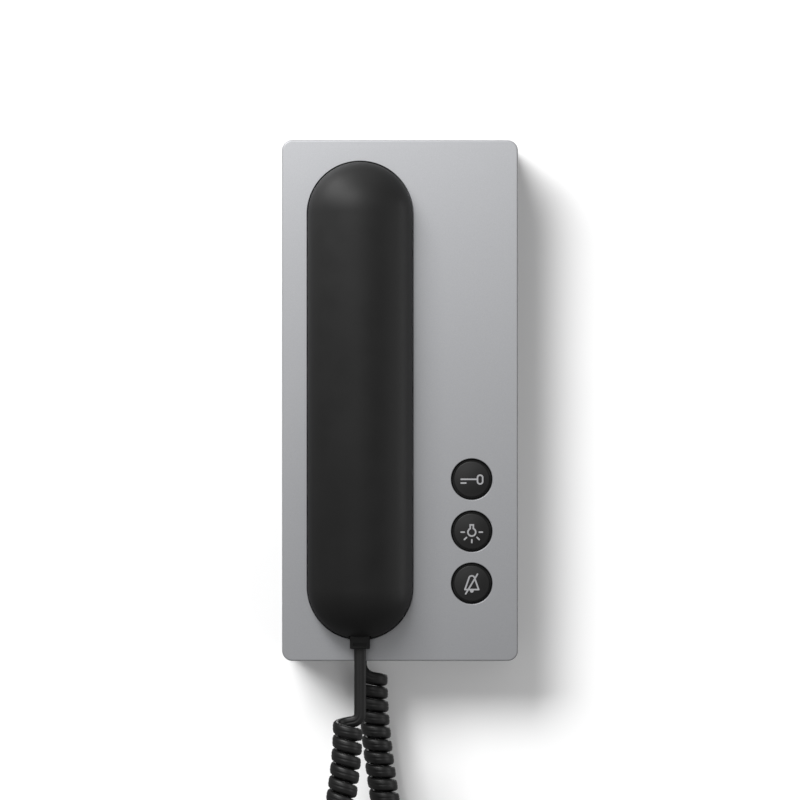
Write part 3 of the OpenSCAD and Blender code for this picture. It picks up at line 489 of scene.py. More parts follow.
# %% Helpers for plain shapes
def post(name, width, x, up, low, high, sides=96, tall=None):
    """A round post between two distances from the wall, drawn out into an upright bar if it is tall."""
    piece = begin(
        name,
        bpy.ops.mesh.primitive_cylinder_add,
        vertices=sides,
        radius=width / 2 * MM,
        depth=(high - low) * MM,
        location=spot(x, (low + high) / 2, up),
        rotation=(pi / 2, pi / sides, 0),
    )
    for way in (1, -1):
        pick(piece, "verts", lambda v: way * (v.co.z - up * MM) > 0)
        bpy.ops.transform.translate(value=(0, 0, way * ((tall or width) - width) / 2 * MM))
    return close_edit(piece)


def begin_block(name, wide, tall, x, up, low, high):
    """A block between two distances from the wall, open in edit mode."""
    return begin(
        name,
        bpy.ops.mesh.primitive_cube_add,
        size=1,
        location=spot(x, (low + high) / 2, up),
        scale=(wide * MM, (high - low) * MM, tall * MM),
    )


def block(*shape):
    """A plain block for cutting and welding."""
    piece = begin_block(*shape)
    leave_edit()
    return piece


def both_sides(x, *heights):
    """Places on the right and on the left at some heights."""
    return [(side, up) for side in (x, -x) for up in heights]


print("four places, for example:", both_sides(1, 2, -2))


# %% [markdown]
# ## The silver housing
#
# The real housing is one injection moulding, lacquered silver: a shallow box, open to the wall, with
# a pocket for the handset. It starts as a block. Its upright corners are rounded, its back is opened,
# a wall thickness is added, and then the front edge is rounded. The pocket's tub, the wells for the
# ear and mouth cups and the collars of the buttons are welded on behind, and the hollows are cut.

# %% Box of the housing
SHADOW_GAP = 0.5
WALL = 2.5
CORNER = 4
EDGE = 0.6
housing = begin_block("housing_cover", WIDE, TALL, 0, 0, SHADOW_GAP, FRONT)
pick(housing, "edges", lambda e: abs(e.verts[0].co.y - e.verts[1].co.y) > 0.01)
bevel(CORNER, 14)
pick(housing, "faces", lambda f: f.normal.y > 0.9)
bpy.ops.mesh.delete(type="FACE")
use_modifier(housing, "SOLIDIFY", thickness=WALL * MM, offset=-1, use_even_offset=True)
open_edit(housing)
rounded_edges = pick(housing, "edges", lies_at(FRONT))
bevel(EDGE, 6)
close_edit(housing)
print("front edges rounded:", rounded_edges)

# %% [markdown]
# The handset lies 5 mm deep in a tub, and its two cups reach into wells in the tub's floor. Collars guide
# the buttons, a short guide holds the hook plunger, and a ring holds the magnet. Each is a plain post or
# bar, so a boolean is the quickest way: first all that is welded on, then all that is cut.

# %% Sizes of the pocket
button_spans = {key: span(key + "_button") for key in ("door", "light", "mute")}
BUTTON_X = (button_spans["door"][0].x + button_spans["door"][1].x) / 2
BUTTON_UP = {key: (low.z + high.z) / 2 for key, (low, high) in button_spans.items()}
handset_low, handset_high = span("handset_front")
HANDSET_W, HANDSET_L = handset_high.x - handset_low.x, handset_high.z - handset_low.z
DOME_R = HANDSET_W / 2
DOME_UP = HANDSET_L / 2 - DOME_R
CUP_UP = 62
POCKET_W, POCKET_L = HANDSET_W + 0.8, HANDSET_L + 0.8
POCKET_FLOOR = 20.5
TUB_WALL, TUB_BACK = 1.8, 18.7
TUB_W, TUB_L = POCKET_W + 2 * TUB_WALL, POCKET_L + 2 * TUB_WALL
WELL_W, WELL_FLOOR, WELL_BACK = 34.2, 15.6, 13.8
HOLE_W, COLLAR_W, COLLAR_BACK = 16, 19.4, 19.1
PLUNGER_UP, PLUNGER_HOLE, GUIDE_W, GUIDE_BACK = -10, 5.2, 8.6, 17.7
MAGNET_UP, MAGNET_SEAT, RING_W, RING_BACK = 14, 14.1, 17.2, 14.7
PLUG_GAP, INLET_UP, INLET_FRONT = 8.25, -100.5, 15.1
NIB_UP, NIB_L, NIB_LOW, NIB_HIGH, NIB_ROOM = 60, 12, 4, 6, 0.15
NIB_SEAT_X, NIB_SEAT_W = 43, 1.7
IN_FRONT, IN_FLOOR, BEYOND, INSIDE = 24, 20, 28, 10
print("pocket", round(POCKET_W, 2), "by", round(POCKET_L, 2), "mm, floor at", POCKET_FLOOR)

# %% Weld and cut the pocket, wells and openings
weld(housing, post("tub", TUB_W, HANDSET_X, 0, TUB_BACK, IN_FRONT, tall=TUB_L))
for up in (CUP_UP, -CUP_UP):
    weld(housing, post("well", WELL_W + 2 * TUB_WALL, HANDSET_X, up, WELL_BACK, IN_FLOOR))
for up in BUTTON_UP.values():
    weld(housing, post("collar", COLLAR_W, BUTTON_X, up, COLLAR_BACK, IN_FRONT, 64))
weld(housing, post("plunger guide", GUIDE_W, HANDSET_X, PLUNGER_UP, GUIDE_BACK, IN_FLOOR, 48))
weld(housing, post("magnet ring", RING_W, HANDSET_X, MAGNET_UP, RING_BACK, IN_FLOOR, 48))
carve(housing, post("pocket", POCKET_W, HANDSET_X, 0, POCKET_FLOOR, BEYOND, tall=POCKET_L))
for up in (CUP_UP, -CUP_UP):
    carve(housing, post("well", WELL_W, HANDSET_X, up, WELL_FLOOR, BEYOND))
for up in BUTTON_UP.values():
    carve(housing, post("hole", HOLE_W, BUTTON_X, up, INSIDE, BEYOND, 64))
carve(housing, post("plunger hole", PLUNGER_HOLE, HANDSET_X, PLUNGER_UP, INSIDE, IN_FRONT, 48))
carve(housing, post("magnet seat", MAGNET_SEAT, HANDSET_X, MAGNET_UP, INSIDE, TUB_BACK, 48))
carve(housing, block("cord inlet", PLUG_GAP, 10, INLET_X, INLET_UP, -1, INLET_FRONT))
for x, up in both_sides(NIB_SEAT_X, NIB_UP, -NIB_UP):
    seat_low, seat_high = NIB_LOW - NIB_ROOM, NIB_HIGH + NIB_ROOM
    carve(housing, block("nib seat", NIB_SEAT_W, NIB_L + 2 * NIB_ROOM, x, up, seat_low, seat_high))
print("housing faces:", len(housing.data.polygons))


# %% [markdown]
# A moulded rim is never knife sharp. The rims of the pocket and of the button holes get a small
# rounding. Weighted normals then keep the big flat faces flat, and the many-sided faces that the cuts
# leave are split into triangles, so that none of them is filled wrongly later.

# %% Rims of the housing
RIM = 0.3
NEAR = 0.1 * MM


def on_a_rim(edge):
    """Whether an edge of the front face runs round the pocket or a button hole."""
    if not lies_at(FRONT)(edge):
        return False
    middle = (edge.verts[0].co + edge.verts[1].co) / 2
    across, up = middle.x - HANDSET_X * MM, max(abs(middle.z) - DOME_UP * MM, 0)
    beside = abs(hypot(across, up) - POCKET_W / 2 * MM) < NEAR
    round_a_button = any(
        abs(hypot(middle.x - BUTTON_X * MM, middle.z - z * MM) - HOLE_W / 2 * MM) < NEAR
        for z in BUTTON_UP.values()
    )
    return beside or round_a_button


open_edit(housing)
rims = pick(housing, "edges", on_a_rim)
bevel(RIM, 4)
close_edit(housing)
settle(housing)
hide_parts("housing")
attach(housing, "base")
print("rim edges rounded:", rims)


# %% [markdown]
# ## The front shell of the handset
#
# The handset is half of a long capsule. A sphere is the start: its upper half is drawn out into a bar
# with two domes, the half towards the wall is cut away, and the open edge is drawn back into the pocket.
# A wall thickness makes it a shell, and the plug's opening is cut through the lower dome.

# %% Model the front shell
SPLIT = 22.3
SHELL_WALL = 2.2
PLUG_ROOM = 0.3
OPENING_TALL, OPENING_BELOW = 15.6, -88
shell = begin(
    "handset_shell",
    bpy.ops.mesh.primitive_uv_sphere_add,
    segments=128,
    ring_count=64,
    radius=DOME_R * MM,
)
pick(shell, "faces", lambda f: f.calc_center_median().z > 0)
extrude(0, 0, 2 * DOME_UP)
bpy.ops.mesh.select_all(action="SELECT")
bpy.ops.transform.translate(value=spot(HANDSET_X, FRONT, -DOME_UP))
bpy.ops.mesh.bisect(plane_co=spot(0, FRONT, 0), plane_no=(0, 1, 0), clear_outer=True)
pick(shell, "edges", lambda e: e.is_boundary)
extrude(0, SPLIT - FRONT, 0)
close_edit(shell)
use_modifier(shell, "SOLIDIFY", thickness=SHELL_WALL * MM, offset=-1, use_even_offset=True)
opening_front = LEAD_OUT + PLUG_T / 2 + PLUG_ROOM
carve(shell, block("plug opening", PLUG_GAP, OPENING_TALL, HANDSET_X, -HANDSET_L / 2, FRONT, opening_front))
open_edit(shell)


def opening_rim(edge):
    """Whether an edge runs round the plug's opening on the outside."""
    a, b = edge.verts
    low = max(a.co.z, b.co.z) < OPENING_BELOW * MM
    sharp = edge.is_manifold and edge.calc_face_angle() > radians(40)
    dome_middle = Vector(spot(HANDSET_X, FRONT, -DOME_UP))
    outside = all((v.co - dome_middle).length > (DOME_R - 0.2) * MM for v in (a, b))
    return low and sharp and outside


opening_edges = pick(shell, "edges", opening_rim)
bevel(0.2, 2)
close_edit(shell)
use_modifier(shell, "TRIANGULATE", min_vertices=5)
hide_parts("handset_front")
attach(shell, "handset")
print("opening edges softened:", opening_edges)


# %% [markdown]
# ## The rear shell of the handset
#
# The side that lies against the ear is a flat cover with a round ear cup and a round mouth cup. It
# shows when the handset is lifted. A bar with round ends is rounded along its edge, the cups are turned
# discs welded under it, and small holes in rings let the sound through.

# %% Turned pieces
def turned(name, rings, x, up, sides=72):
    """A piece of revolution: a disc is extruded ring by ring, each at its own radius."""
    radius, out = rings[0]
    piece = begin(
        name,
        bpy.ops.mesh.primitive_circle_add,
        vertices=sides,
        radius=radius * MM,
        fill_type="NGON",
        location=spot(x, out, up),
        rotation=(pi / 2, 0, 0),
    )
    bpy.ops.mesh.select_all(action="SELECT")
    for next_radius, next_out in rings[1:]:
        extrude(0, next_out - out, 0)
        ratio = next_radius / radius
        bpy.ops.transform.resize(value=(ratio, 1, ratio), center_override=spot(x, next_out, up))
        radius, out = next_radius, next_out
    return close_edit(piece)


def rounding(radius, out, size, steps=5):
    """Rings of a quarter round from the side of a post up to its flat end."""
    quarter = [pi / 2 * k / steps for k in range(steps + 1)]
    return [(radius - size * (1 - cos(q)), out - size * (1 - sin(q))) for q in quarter]


print("rings of a rounding:", len(rounding(7, 20, 0.5)))

# %% Model the rear shell
COVER = 20.8
CUP, CUP_R, CUP_FLOOR, CUP_HOLLOW = 16.2, 16.5, 17.8, 29.8
MIC_RING, MIC_SEAT = 15.5, 12.3
SOUND_HOLE, HOLE_PITCH = 1.8, 4.14
HANDSET_SCREW_UP = 33.75
rear = post("handset_back", HANDSET_W, HANDSET_X, 0, COVER, SPLIT, tall=HANDSET_L)
open_edit(rear)
pick(rear, "edges", lies_at(COVER))
bevel(0.5, 4)
close_edit(rear)
cup_rings = [(11, CUP + 0.35), (15, CUP), (CUP_R - 0.8, CUP), (CUP_R - 0.25, CUP + 0.25), (CUP_R, CUP + 0.8)]
cup_rings.append((CUP_R, SPLIT - 0.6))
for up in (CUP_UP, -CUP_UP):
    weld(rear, turned("cup", cup_rings, HANDSET_X, up))
    carve(rear, post("cup hollow", CUP_HOLLOW, HANDSET_X, up, CUP_FLOOR, IN_FRONT, 72))
weld(rear, post("microphone ring", MIC_RING, HANDSET_X, -CUP_UP, CUP_FLOOR - 0.4, SPLIT, 48))
carve(rear, post("microphone seat", MIC_SEAT, HANDSET_X, -CUP_UP, CUP_FLOOR, IN_FRONT, 48))


def sound_holes(rings, up):
    """Cuts a middle hole and rings of six, twelve and so on with one tool."""
    holes = []
    for ring in range(rings + 1):
        for k in range(max(6 * ring, 1)):
            turn = 2 * pi * k / max(6 * ring, 1)
            x, z = HOLE_PITCH * ring * cos(turn), HOLE_PITCH * ring * sin(turn)
            holes.append(post("sound hole", SOUND_HOLE, HANDSET_X + x, up + z, 15, 19, 16))
    take(holes[0])
    for hole in holes:
        hole.select_set(True)
    bpy.ops.object.join()
    carve(rear, holes[0])
    return len(holes)


hole_count = sound_holes(2, CUP_UP) + sound_holes(1, -CUP_UP)
sink_rings = [(2.6, 20), (2.5, COVER), (1.45, SPLIT - 0.1), (1.45, IN_FRONT)]
for up in (HANDSET_SCREW_UP, -HANDSET_SCREW_UP):
    carve(rear, turned("screw sink", sink_rings, HANDSET_X, up, 32))
settle(rear)
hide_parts("handset_rear")
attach(rear, "handset")
print("sound holes:", hole_count)


# %% [markdown]
# ## The three buttons
#
# Each button is a turned piece: a stem to the rubber dome, a flange that stops it behind its collar, a
# barrel in the hole, and a raised face with a soft edge and a slight crown that catches the light at
# its upper side. It is modelled once and copied to the other two places.

# %% Model the buttons
STEM_R, FLANGE_R, BARREL_R, FACE_R, FLAT_R = 3, 9.15, 7.75, 6.95, 6.55
FLANGE_LOW, FLANGE_HIGH, SHOULDER, CROWN = 17.8, 19, 23, 25.32
button_rings = [(STEM_R, 9.7), (STEM_R, FLANGE_LOW), (FLANGE_R, FLANGE_LOW)]
button_rings += [(FLANGE_R, FLANGE_HIGH), (BARREL_R, FLANGE_HIGH)]
button_rings += rounding(BARREL_R, SHOULDER, 0.3, 3) + [(FACE_R, SHOULDER)] + rounding(FACE_R, 24.8, 0.4)
button_rings += [(r, CROWN - 0.55 * (r / FLAT_R) ** 2) for r in (6, 5.2, 4.2, 3.2, 2.2, 1.2, 0.4)]
door_cap = turned("door_cap", button_rings, BUTTON_X, BUTTON_UP["door"], 96)
caps = {"door": door_cap}
for key in ("light", "mute"):
    caps[key] = copied(door_cap, key + "_cap", (0, 0, BUTTON_UP[key] - BUTTON_UP["door"]))
for key, cap in caps.items():
    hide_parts(key + "_button")
    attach(cap, key + "_key")
print("buttons:", sorted(caps))


# %% [markdown]
# ## The two modular plugs
#
# The cord ends in small moulded plugs. A block gets soft edges, a window shows the clamp that bites
# the sheath, four slots at its nose hold the contact blades, and a springy latch stands off behind.
# The lower plug end is the one that shows under the handset. The second plug is its copy in the inlet.

# %% Model the plugs
PLUG_W, PLUG_L = 7.65, 14.7
BLADE_PITCH = 1.27
LATCH_W, LATCH_OUT = 3.2, LEAD_OUT - 4.9
plug_back, plug_front = LEAD_OUT - PLUG_T / 2, LEAD_OUT + PLUG_T / 2
plug_middle = LEAD_TOP + PLUG_L / 2
plug = begin_block("handset_cord_plug", PLUG_W, PLUG_L, HANDSET_X, plug_middle, plug_back, plug_front)
bpy.ops.mesh.select_all(action="SELECT")
bevel(0.35, 3)
close_edit(plug)
carve(plug, block("clamp window", 5.4, 1.3, HANDSET_X, LEAD_TOP + 1.65, LEAD_OUT + 1.9, LEAD_OUT + 4))
carve(plug, block("sheath mouth", 4.9, 3, HANDSET_X, LEAD_TOP, LEAD_OUT - 1.4, LEAD_OUT + 1.4))
for k in (-1.5, -0.5, 0.5, 1.5):
    x = HANDSET_X + BLADE_PITCH * k
    carve(plug, block("blade slot", 0.5, 9.2, x, LEAD_TOP + PLUG_L, LEAD_OUT + 0.1, LEAD_OUT + 4))
weld(plug, block("latch root", LATCH_W, 1.5, HANDSET_X, LEAD_TOP + 12.45, LATCH_OUT, LEAD_OUT - 3))
weld(plug, block("latch", LATCH_W, 5.5, HANDSET_X, LEAD_TOP + 10.45, LATCH_OUT, LEAD_OUT - 3.9))
open_edit(plug)
close_edit(plug)
settle(plug)
inlet_move = (INLET_X - HANDSET_X, INLET_OUT - LEAD_OUT, INLET_TOP - LEAD_TOP)
inlet_plug = copied(plug, "inlet_cord_plug", inlet_move)
for piece, node, body in ((plug, "handset_plug", "handset"), (inlet_plug, "base_plug", "base")):
    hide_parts(node)
    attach(piece, body)
print("plug faces:", len(plug.data.polygons))


# %% [markdown]
# ## The wall plate
#
# The plate is what the screws hold to the wall. It is a tray: a block whose front is inset and pushed
# back, with rounded corners, bosses under the board, snap nibs at its sides, a window for the house
# wiring and four screw holes.

# %% Model the wall plate
PLATE_W, PLATE_D, PLATE_H = 85.4, 7, 195.4
PLATE_RIM, PLATE_FLOOR = 1.8, 2.5
BOSS_W, BOSS_BORE, BOSS_TOP = 6, 2.6, 4.5
BOSS_X, BOSS_HIGH, BOSS_LOW = 36, 22, -74
SCREW_W, SCREW_X, SCREW_UP = 4.5, 30, 88
WINDOW_W, WINDOW_H, WINDOW_UP = 36, 22, 45
plate = begin_block("wall_tray", PLATE_W, PLATE_H, 0, 0, 0, PLATE_D)
pick(plate, "edges", lambda e: abs(e.verts[0].co.y - e.verts[1].co.y) > 0.001)
bevel(1.2, 6)
back_rim = pick(plate, "edges", lies_at(0))
bevel(0.4, 3)
pick(plate, "faces", lambda f: f.normal.y < -0.9)
bpy.ops.mesh.inset(thickness=PLATE_RIM * MM)
extrude(0, PLATE_FLOOR - PLATE_D, 0)
close_edit(plate)
for x, up in both_sides(BOSS_X, BOSS_HIGH, BOSS_LOW):
    weld(plate, post("boss", BOSS_W, x, up, 1, BOSS_TOP, 32))
    carve(plate, post("boss bore", BOSS_BORE, x, up, PLATE_FLOOR / 2, BOSS_TOP + 1.5, 24))
weld(plate, block("jack pad", 11, 6, INLET_X, -88.65, 1, BOSS_TOP))
for x, up in both_sides(PLATE_W / 2, NIB_UP, -NIB_UP):
    weld(plate, block("nib", 2, NIB_L, x, up, NIB_LOW, NIB_HIGH))
for x, up in both_sides(SCREW_X, SCREW_UP, -SCREW_UP):
    carve(plate, post("screw hole", SCREW_W, x, up, -1, PLATE_FLOOR + 1.5, 32))
carve(plate, block("wiring window", WINDOW_W, WINDOW_H, 0, WINDOW_UP, -1, PLATE_FLOOR + 1.5))
carve(plate, block("rim notch", 18, 7.2, INLET_X, -PLATE_H / 2, PLATE_FLOOR, PLATE_D + 1))
settle(plate)
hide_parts("wall_plate")
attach(plate, "base")
print("edges eased on the back:", back_rim)


# %% [markdown]
# ## The parts that give way
#
# A rubber dome under each button and a wire spring under the hook plunger give way when they are
# pressed. The domes are turned shells, and the spring is a wire drawn along a curve. Each is blended
# between the housing and the piece that presses it, so that it shortens as the real one does.

# %% Rubber domes
BOARD_TOP, DOME_TOP = 6.1, 9.6
dome_rings = [(3.7, BOARD_TOP), (4.5, BOARD_TOP), (4.45, 6.5), (3.1, 9.2), (2.9, 9.5)]
dome_rings += [(2.6, DOME_TOP), (0.5, DOME_TOP)]
hollow_rings = [(3.72, 6), (3.7, 6.12), (2.2, 8.8), (0.5, 8.8)]
for key, up in BUTTON_UP.items():
    dome = turned(key + "_rubber", dome_rings, BUTTON_X, up, 48)
    carve(dome, turned("dome hollow", hollow_rings, BUTTON_X, up, 48))
    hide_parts(key + "_dome")
    dome_foot, dome_head = spot(BUTTON_X, BOARD_TOP, up), spot(BUTTON_X, DOME_TOP, up)
    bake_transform(dome, "base", key + "_key", start=dome_foot, end=dome_head)
print("domes at", sorted(BUTTON_UP.values()))


# %% Hook spring
def drawn_wire(name, route, thickness, smooth=True):
    """A wire as a mesh: a curve through the points, given a round section and converted."""
    curve = bpy.data.curves.new(name, "CURVE")
    curve.dimensions = "3D"
    curve.bevel_depth = thickness / 2 * MM
    curve.bevel_resolution = 3
    curve.use_fill_caps = True
    line = curve.splines.new("NURBS" if smooth else "POLY")
    line.points.add(len(route) - 1)
    for point, place in zip(line.points, route):
        point.co = (*place, 1)
    if smooth:
        line.use_endpoint_u = True
        line.order_u = 3
        line.resolution_u = 6
    take(add_object(name, curve))
    bpy.ops.object.convert(target="MESH")
    open_edit(bpy.context.object)
    return close_edit(bpy.context.object, 50)


SPRING_R, SPRING_WIRE, SPRING_TOP = 3.7, 0.56, 12.2
TURNS, TURN_POINTS, COIL_LOW, COIL_RISE = 5, 24, 7.3, 3.7


def spring_point(out, turn=0.0):
    """A point of the spring at a distance from the wall and an angle."""
    return spot(HANDSET_X + SPRING_R * cos(turn), out, PLUNGER_UP + SPRING_R * sin(turn))


coil = [spring_point(BOARD_TOP), spring_point(6.9)]
for k in range(TURNS * TURN_POINTS + 1):
    out = COIL_LOW + COIL_RISE * k / (TURNS * TURN_POINTS)
    coil.append(spring_point(out, 2 * pi * k / TURN_POINTS))
coil += [spring_point(11.5), spring_point(SPRING_TOP)]
spring = drawn_wire("plunger_spring", coil, SPRING_WIRE, smooth=False)
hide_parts("hook_spring")
spring_foot, spring_head = spot(HANDSET_X, BOARD_TOP, PLUNGER_UP), spot(HANDSET_X, SPRING_TOP, PLUNGER_UP)
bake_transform(spring, "base", "hook", start=spring_foot, end=spring_head)
print("spring points:", len(coil))


# %% [markdown]
# ## Wires inside the handset
#
# Two thin wires run from the jack to the speaker and to the microphone. They never show with the
# handset closed, and they follow the CAD routes as smooth round wires.

# %% Inner wires
JACK_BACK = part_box("handset_jack")[1].z / MM
ear_route = [(3, JACK_BACK, 28.9), (3, JACK_BACK + 3, 28.9), (8, -62, 28.9), (13.6, -50, 27.3)]
ear_route += [(14.6, -32, 26.3), (14.6, 0, 26.3), (14.6, 32, 26.3), (13.6, 46, 27.3)]
ear_route += [(11.8, 56, 26.3), (11.8, 58, 23.3), (11.8, 58, 21.3)]
mouth_route = [(-3, JACK_BACK, 28.9), (-3, JACK_BACK + 2, 28.9), (-2, -66, 28.4), (-0.5, -63, 26.9)]
mouth_route += [(0, -62, 25.5), (0, -62, 23.5)]
for name, node, route in (("ear_lead", "speaker_wire", ear_route), ("mouth_lead", "mic_wire", mouth_route)):
    wire = drawn_wire(name, [spot(HANDSET_X + x, out, up) for x, up, out in route], 1.5)
    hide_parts(node)
    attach(wire, "handset")
    print(name, "points:", len(route))


# %% [markdown]
# ## Finishes
#
# Each finish is a small node tree on Object coordinates, in metres: a noise at the scale of the real
# grain drives a little colour, a little roughness and a shallow bump. A shared recipe builds the
# moulded plastics and rubbers, and the lacquer, the foam, the metals and the board have their own nodes.

# %% Nodes of a finish
def new_finish(name, **sockets):
    """A material with its shader's plain values set on the sockets."""
    finish = bpy.data.materials.new(name)
    finish.use_nodes = True
    shader = finish.node_tree.nodes["Principled BSDF"]
    for socket, value in sockets.items():
        shader.inputs[socket.replace("_", " ")].default_value = value
    return finish


def add_node(finish, kind, inputs=()):
    """Adds a node and links or fills its inputs."""
    tree = finish.node_tree
    node = tree.nodes.new(kind)
    for socket, value in dict(inputs).items():
        if isinstance(value, bpy.types.NodeSocket):
            tree.links.new(value, node.inputs[socket])
        else:
            node.inputs[socket].default_value = value
    return node


def feed(finish, socket, output):
    """Links a node's output to a socket of the shader."""
    finish.node_tree.links.new(output, finish.node_tree.nodes["Principled BSDF"].inputs[socket])


print("finishes so far:", len(bpy.data.materials))


# %% Grain, tones and bumps
def grain(finish, size, detail=3.0, stretch=(1, 1, 1)):
    """Noise on Object coordinates with grains of a size in millimetres."""
    place = add_node(finish, "ShaderNodeTexCoord").outputs["Object"]
    drawn = add_node(finish, "ShaderNodeMapping", {"Vector": place, "Scale": stretch}).outputs["Vector"]
    inputs = {"Vector": drawn, "Scale": 1 / (size * MM), "Detail": detail}
    return add_node(finish, "ShaderNodeTexNoise", inputs).outputs["Fac"]


NOISE_LOW, NOISE_HIGH = 0.3, 0.7


def between(finish, source, low, high):
    """Maps a noise to a range of values."""
    inputs = {"Value": source, "From Min": NOISE_LOW, "From Max": NOISE_HIGH, "To Min": low, "To Max": high}
    return add_node(finish, "ShaderNodeMapRange", inputs).outputs["Result"]


def two_tones(finish, source, dark, light):
    """Colours between two tones, steered by a noise."""
    ramp = add_node(finish, "ShaderNodeValToRGB", {"Fac": source})
    first, last = ramp.color_ramp.elements
    first.position, last.position = NOISE_LOW, NOISE_HIGH
    first.color, last.color = (*dark, 1), (*light, 1)
    return ramp.outputs["Color"]


def bumps(finish, source, depth):
    """A shallow relief, its depth in millimetres."""
    bump = add_node(finish, "ShaderNodeBump", {"Height": source, "Strength": 1.0, "Distance": depth * MM})
    return bump.outputs["Normal"]


print("tones change where a noise is between", NOISE_LOW, "and", NOISE_HIGH)


# %% Recipe for moulded finishes
CLOUD_SIZE = 14


def coat(finish, tones, rough, depth, noises):
    """Steers colour, roughness and relief, each by a noise."""
    for_tone, for_gloss, for_relief = noises
    feed(finish, "Base Color", two_tones(finish, for_tone, *tones))
    feed(finish, "Roughness", between(finish, for_gloss, *rough))
    feed(finish, "Normal", bumps(finish, for_relief, depth))


def moulded(name, dark, light, rough, size, depth, shine=0.5, **sockets):
    """Moulded plastic or rubber: fine grain in relief, clouds in tone and gloss."""
    finish = new_finish(name, Specular_IOR_Level=shine, **sockets)
    fine, clouds = grain(finish, size), grain(finish, CLOUD_SIZE, 2.0)
    coat(finish, (dark, light), rough, depth, (clouds, clouds, fine))
    return finish


def grey(value):
    """A colour without tint."""
    return (value, value, value)


def dress(finish, *names):
    """Gives a finish to pieces or CAD nodes by name."""
    for name in names:
        slots = bpy.data.objects[name].data.materials
        slots.clear()
        slots.append(finish)
    print(finish.name, "on", ", ".join(names))


print("moulded finishes have clouds of", CLOUD_SIZE, "mm")

# %% [markdown]
# ### Silver lacquer
#
# The housing is lacquered with fine aluminium flakes. Up close the flakes sparkle in tone and tilt, and
# from a step away they make a satin grey that is lighter where it faces the light.

# %% Silver lacquer
lacquer = new_finish("satin silver lacquer", Metallic=0.2)
flakes, haze = grain(lacquer, 0.12, 2.0), grain(lacquer, 30, 2.0)
lacquer_tones = (0.235, 0.238, 0.248), (0.275, 0.279, 0.289)
coat(lacquer, lacquer_tones, (0.38, 0.44), 0.004, (flakes, haze, flakes))
dress(lacquer, "housing_cover")

# %% [markdown]
# ### Blacks
#
# Handset, buttons, plugs and cord are all black, and they differ in gloss alone: the handset is satin and
# finely grained, the buttons are a little darker, the plugs are smooth, and the cord's soft sheath shows a
# broad sheen on each curl. The signs are a light grey inlay.

# %% Blacks of the handset, buttons, plugs and cord
dress(
    moulded("satin black handset plastic", grey(0.0105), grey(0.012), (0.47, 0.53), 0.25, 0.004, shine=0.08),
    "handset_shell", "handset_back",
)
dress(
    moulded("matt black button plastic", grey(0.006), grey(0.009), (0.42, 0.5), 0.2, 0.004, shine=0.25),
    "door_cap", "light_cap", "mute_cap",
)
dress(
    moulded("black plug plastic", grey(0.004), grey(0.006), (0.3, 0.4), 0.5, 0.003, shine=0.15),
    "handset_cord_plug", "inlet_cord_plug",
)
dress(
    moulded("black cord sheath", grey(0.0045), grey(0.006), (0.4, 0.48), 0.3, 0.004, shine=0.34),
    "cord_front_half", "cord_rear_half",
)
dress(
    moulded("light grey inlay", (0.27, 0.27, 0.28), (0.32, 0.32, 0.33), (0.45, 0.55), 0.15, 0.002),
    "door_sign", "light_sign", "mute_sign",
)

# %% [markdown]
# ### What is inside and behind
#
# The plate, the board and its parts show from behind, through the window, or not at all. They still get
# their own finishes: grained dark plastic, solder mask with traces, zinc and nickel, rubber and foam.

# %% Plastics and rubbers inside
dress(
    moulded("dark plate plastic", (0.045, 0.045, 0.048), (0.06, 0.06, 0.064), (0.5, 0.62), 0.35, 0.01),
    "wall_tray",
)
dress(
    moulded("black component plastic", grey(0.02), grey(0.032), (0.45, 0.6), 0.3, 0.006),
    "board_components", "call_sounder", "hook_switch", "base_jack", "handset_jack",
)
dress(
    moulded("grey terminal plastic", (0.36, 0.37, 0.37), (0.44, 0.45, 0.45), (0.42, 0.55), 0.3, 0.005),
    "terminal_block",
)
dress(
    moulded("pale plunger plastic", (0.55, 0.55, 0.52), (0.64, 0.64, 0.61), (0.32, 0.42), 0.4, 0.003),
    "hook_plunger",
)
silicone = moulded(
    "grey silicone", (0.4, 0.4, 0.38), (0.5, 0.5, 0.48), (0.45, 0.6), 0.3, 0.004, Subsurface_Weight=0.2
)
dress(silicone, "door_rubber", "light_rubber", "mute_rubber")
dress(moulded("soft black rubber", grey(0.02), grey(0.035), (0.6, 0.75), 0.3, 0.008), "mic_boot")
dress(moulded("thin wire sheath", grey(0.07), grey(0.11), (0.4, 0.5), 0.4, 0.003), "ear_lead", "mouth_lead")

# %% Open foam
foam = moulded("open foam", grey(0.02), grey(0.05), (0.85, 0.95), 0.6, 0.02)
foam_place = add_node(foam, "ShaderNodeTexCoord").outputs["Object"]
cells = add_node(foam, "ShaderNodeTexVoronoi", {"Vector": foam_place, "Scale": 1 / (0.5 * MM)})
feed(foam, "Normal", bumps(foam, cells.outputs["Distance"], 0.15))
dress(foam, "ear_gasket")


# %% Metals
def plated(name, dark, light, rough, stretch):
    """Metal with fine drawn lines: noise pulled long in one direction."""
    finish = new_finish(name, Metallic=1.0)
    lines = grain(finish, 0.2, 4.0, stretch)
    coat(finish, (dark, light), rough, 0.003, (lines, lines, lines))
    return finish


dress(
    plated("zinc plated steel", (0.5, 0.5, 0.49), (0.62, 0.62, 0.6), (0.28, 0.42), (1, 0.2, 1)),
    "board_screws", "terminal_screws", "handset_screws", "plunger_spring",
)
dress(plated("plain steel", grey(0.36), grey(0.46), (0.35, 0.5), (1, 1, 0.1)), "keeper_weight")
dress(
    plated("nickel plate", (0.55, 0.53, 0.5), (0.64, 0.62, 0.58), (0.18, 0.28), (1, 1, 1)),
    "cradle_magnet",
)
dress(
    plated("pressed can metal", grey(0.42), grey(0.52), (0.3, 0.42), (1, 1, 0.3)),
    "ear_speaker", "microphone",
)
dress(
    plated("gold contact plate", (0.7, 0.48, 0.18), (0.82, 0.6, 0.25), (0.16, 0.26), (1, 1, 0.2)),
    "base_plug_blades", "handset_plug_blades",
)

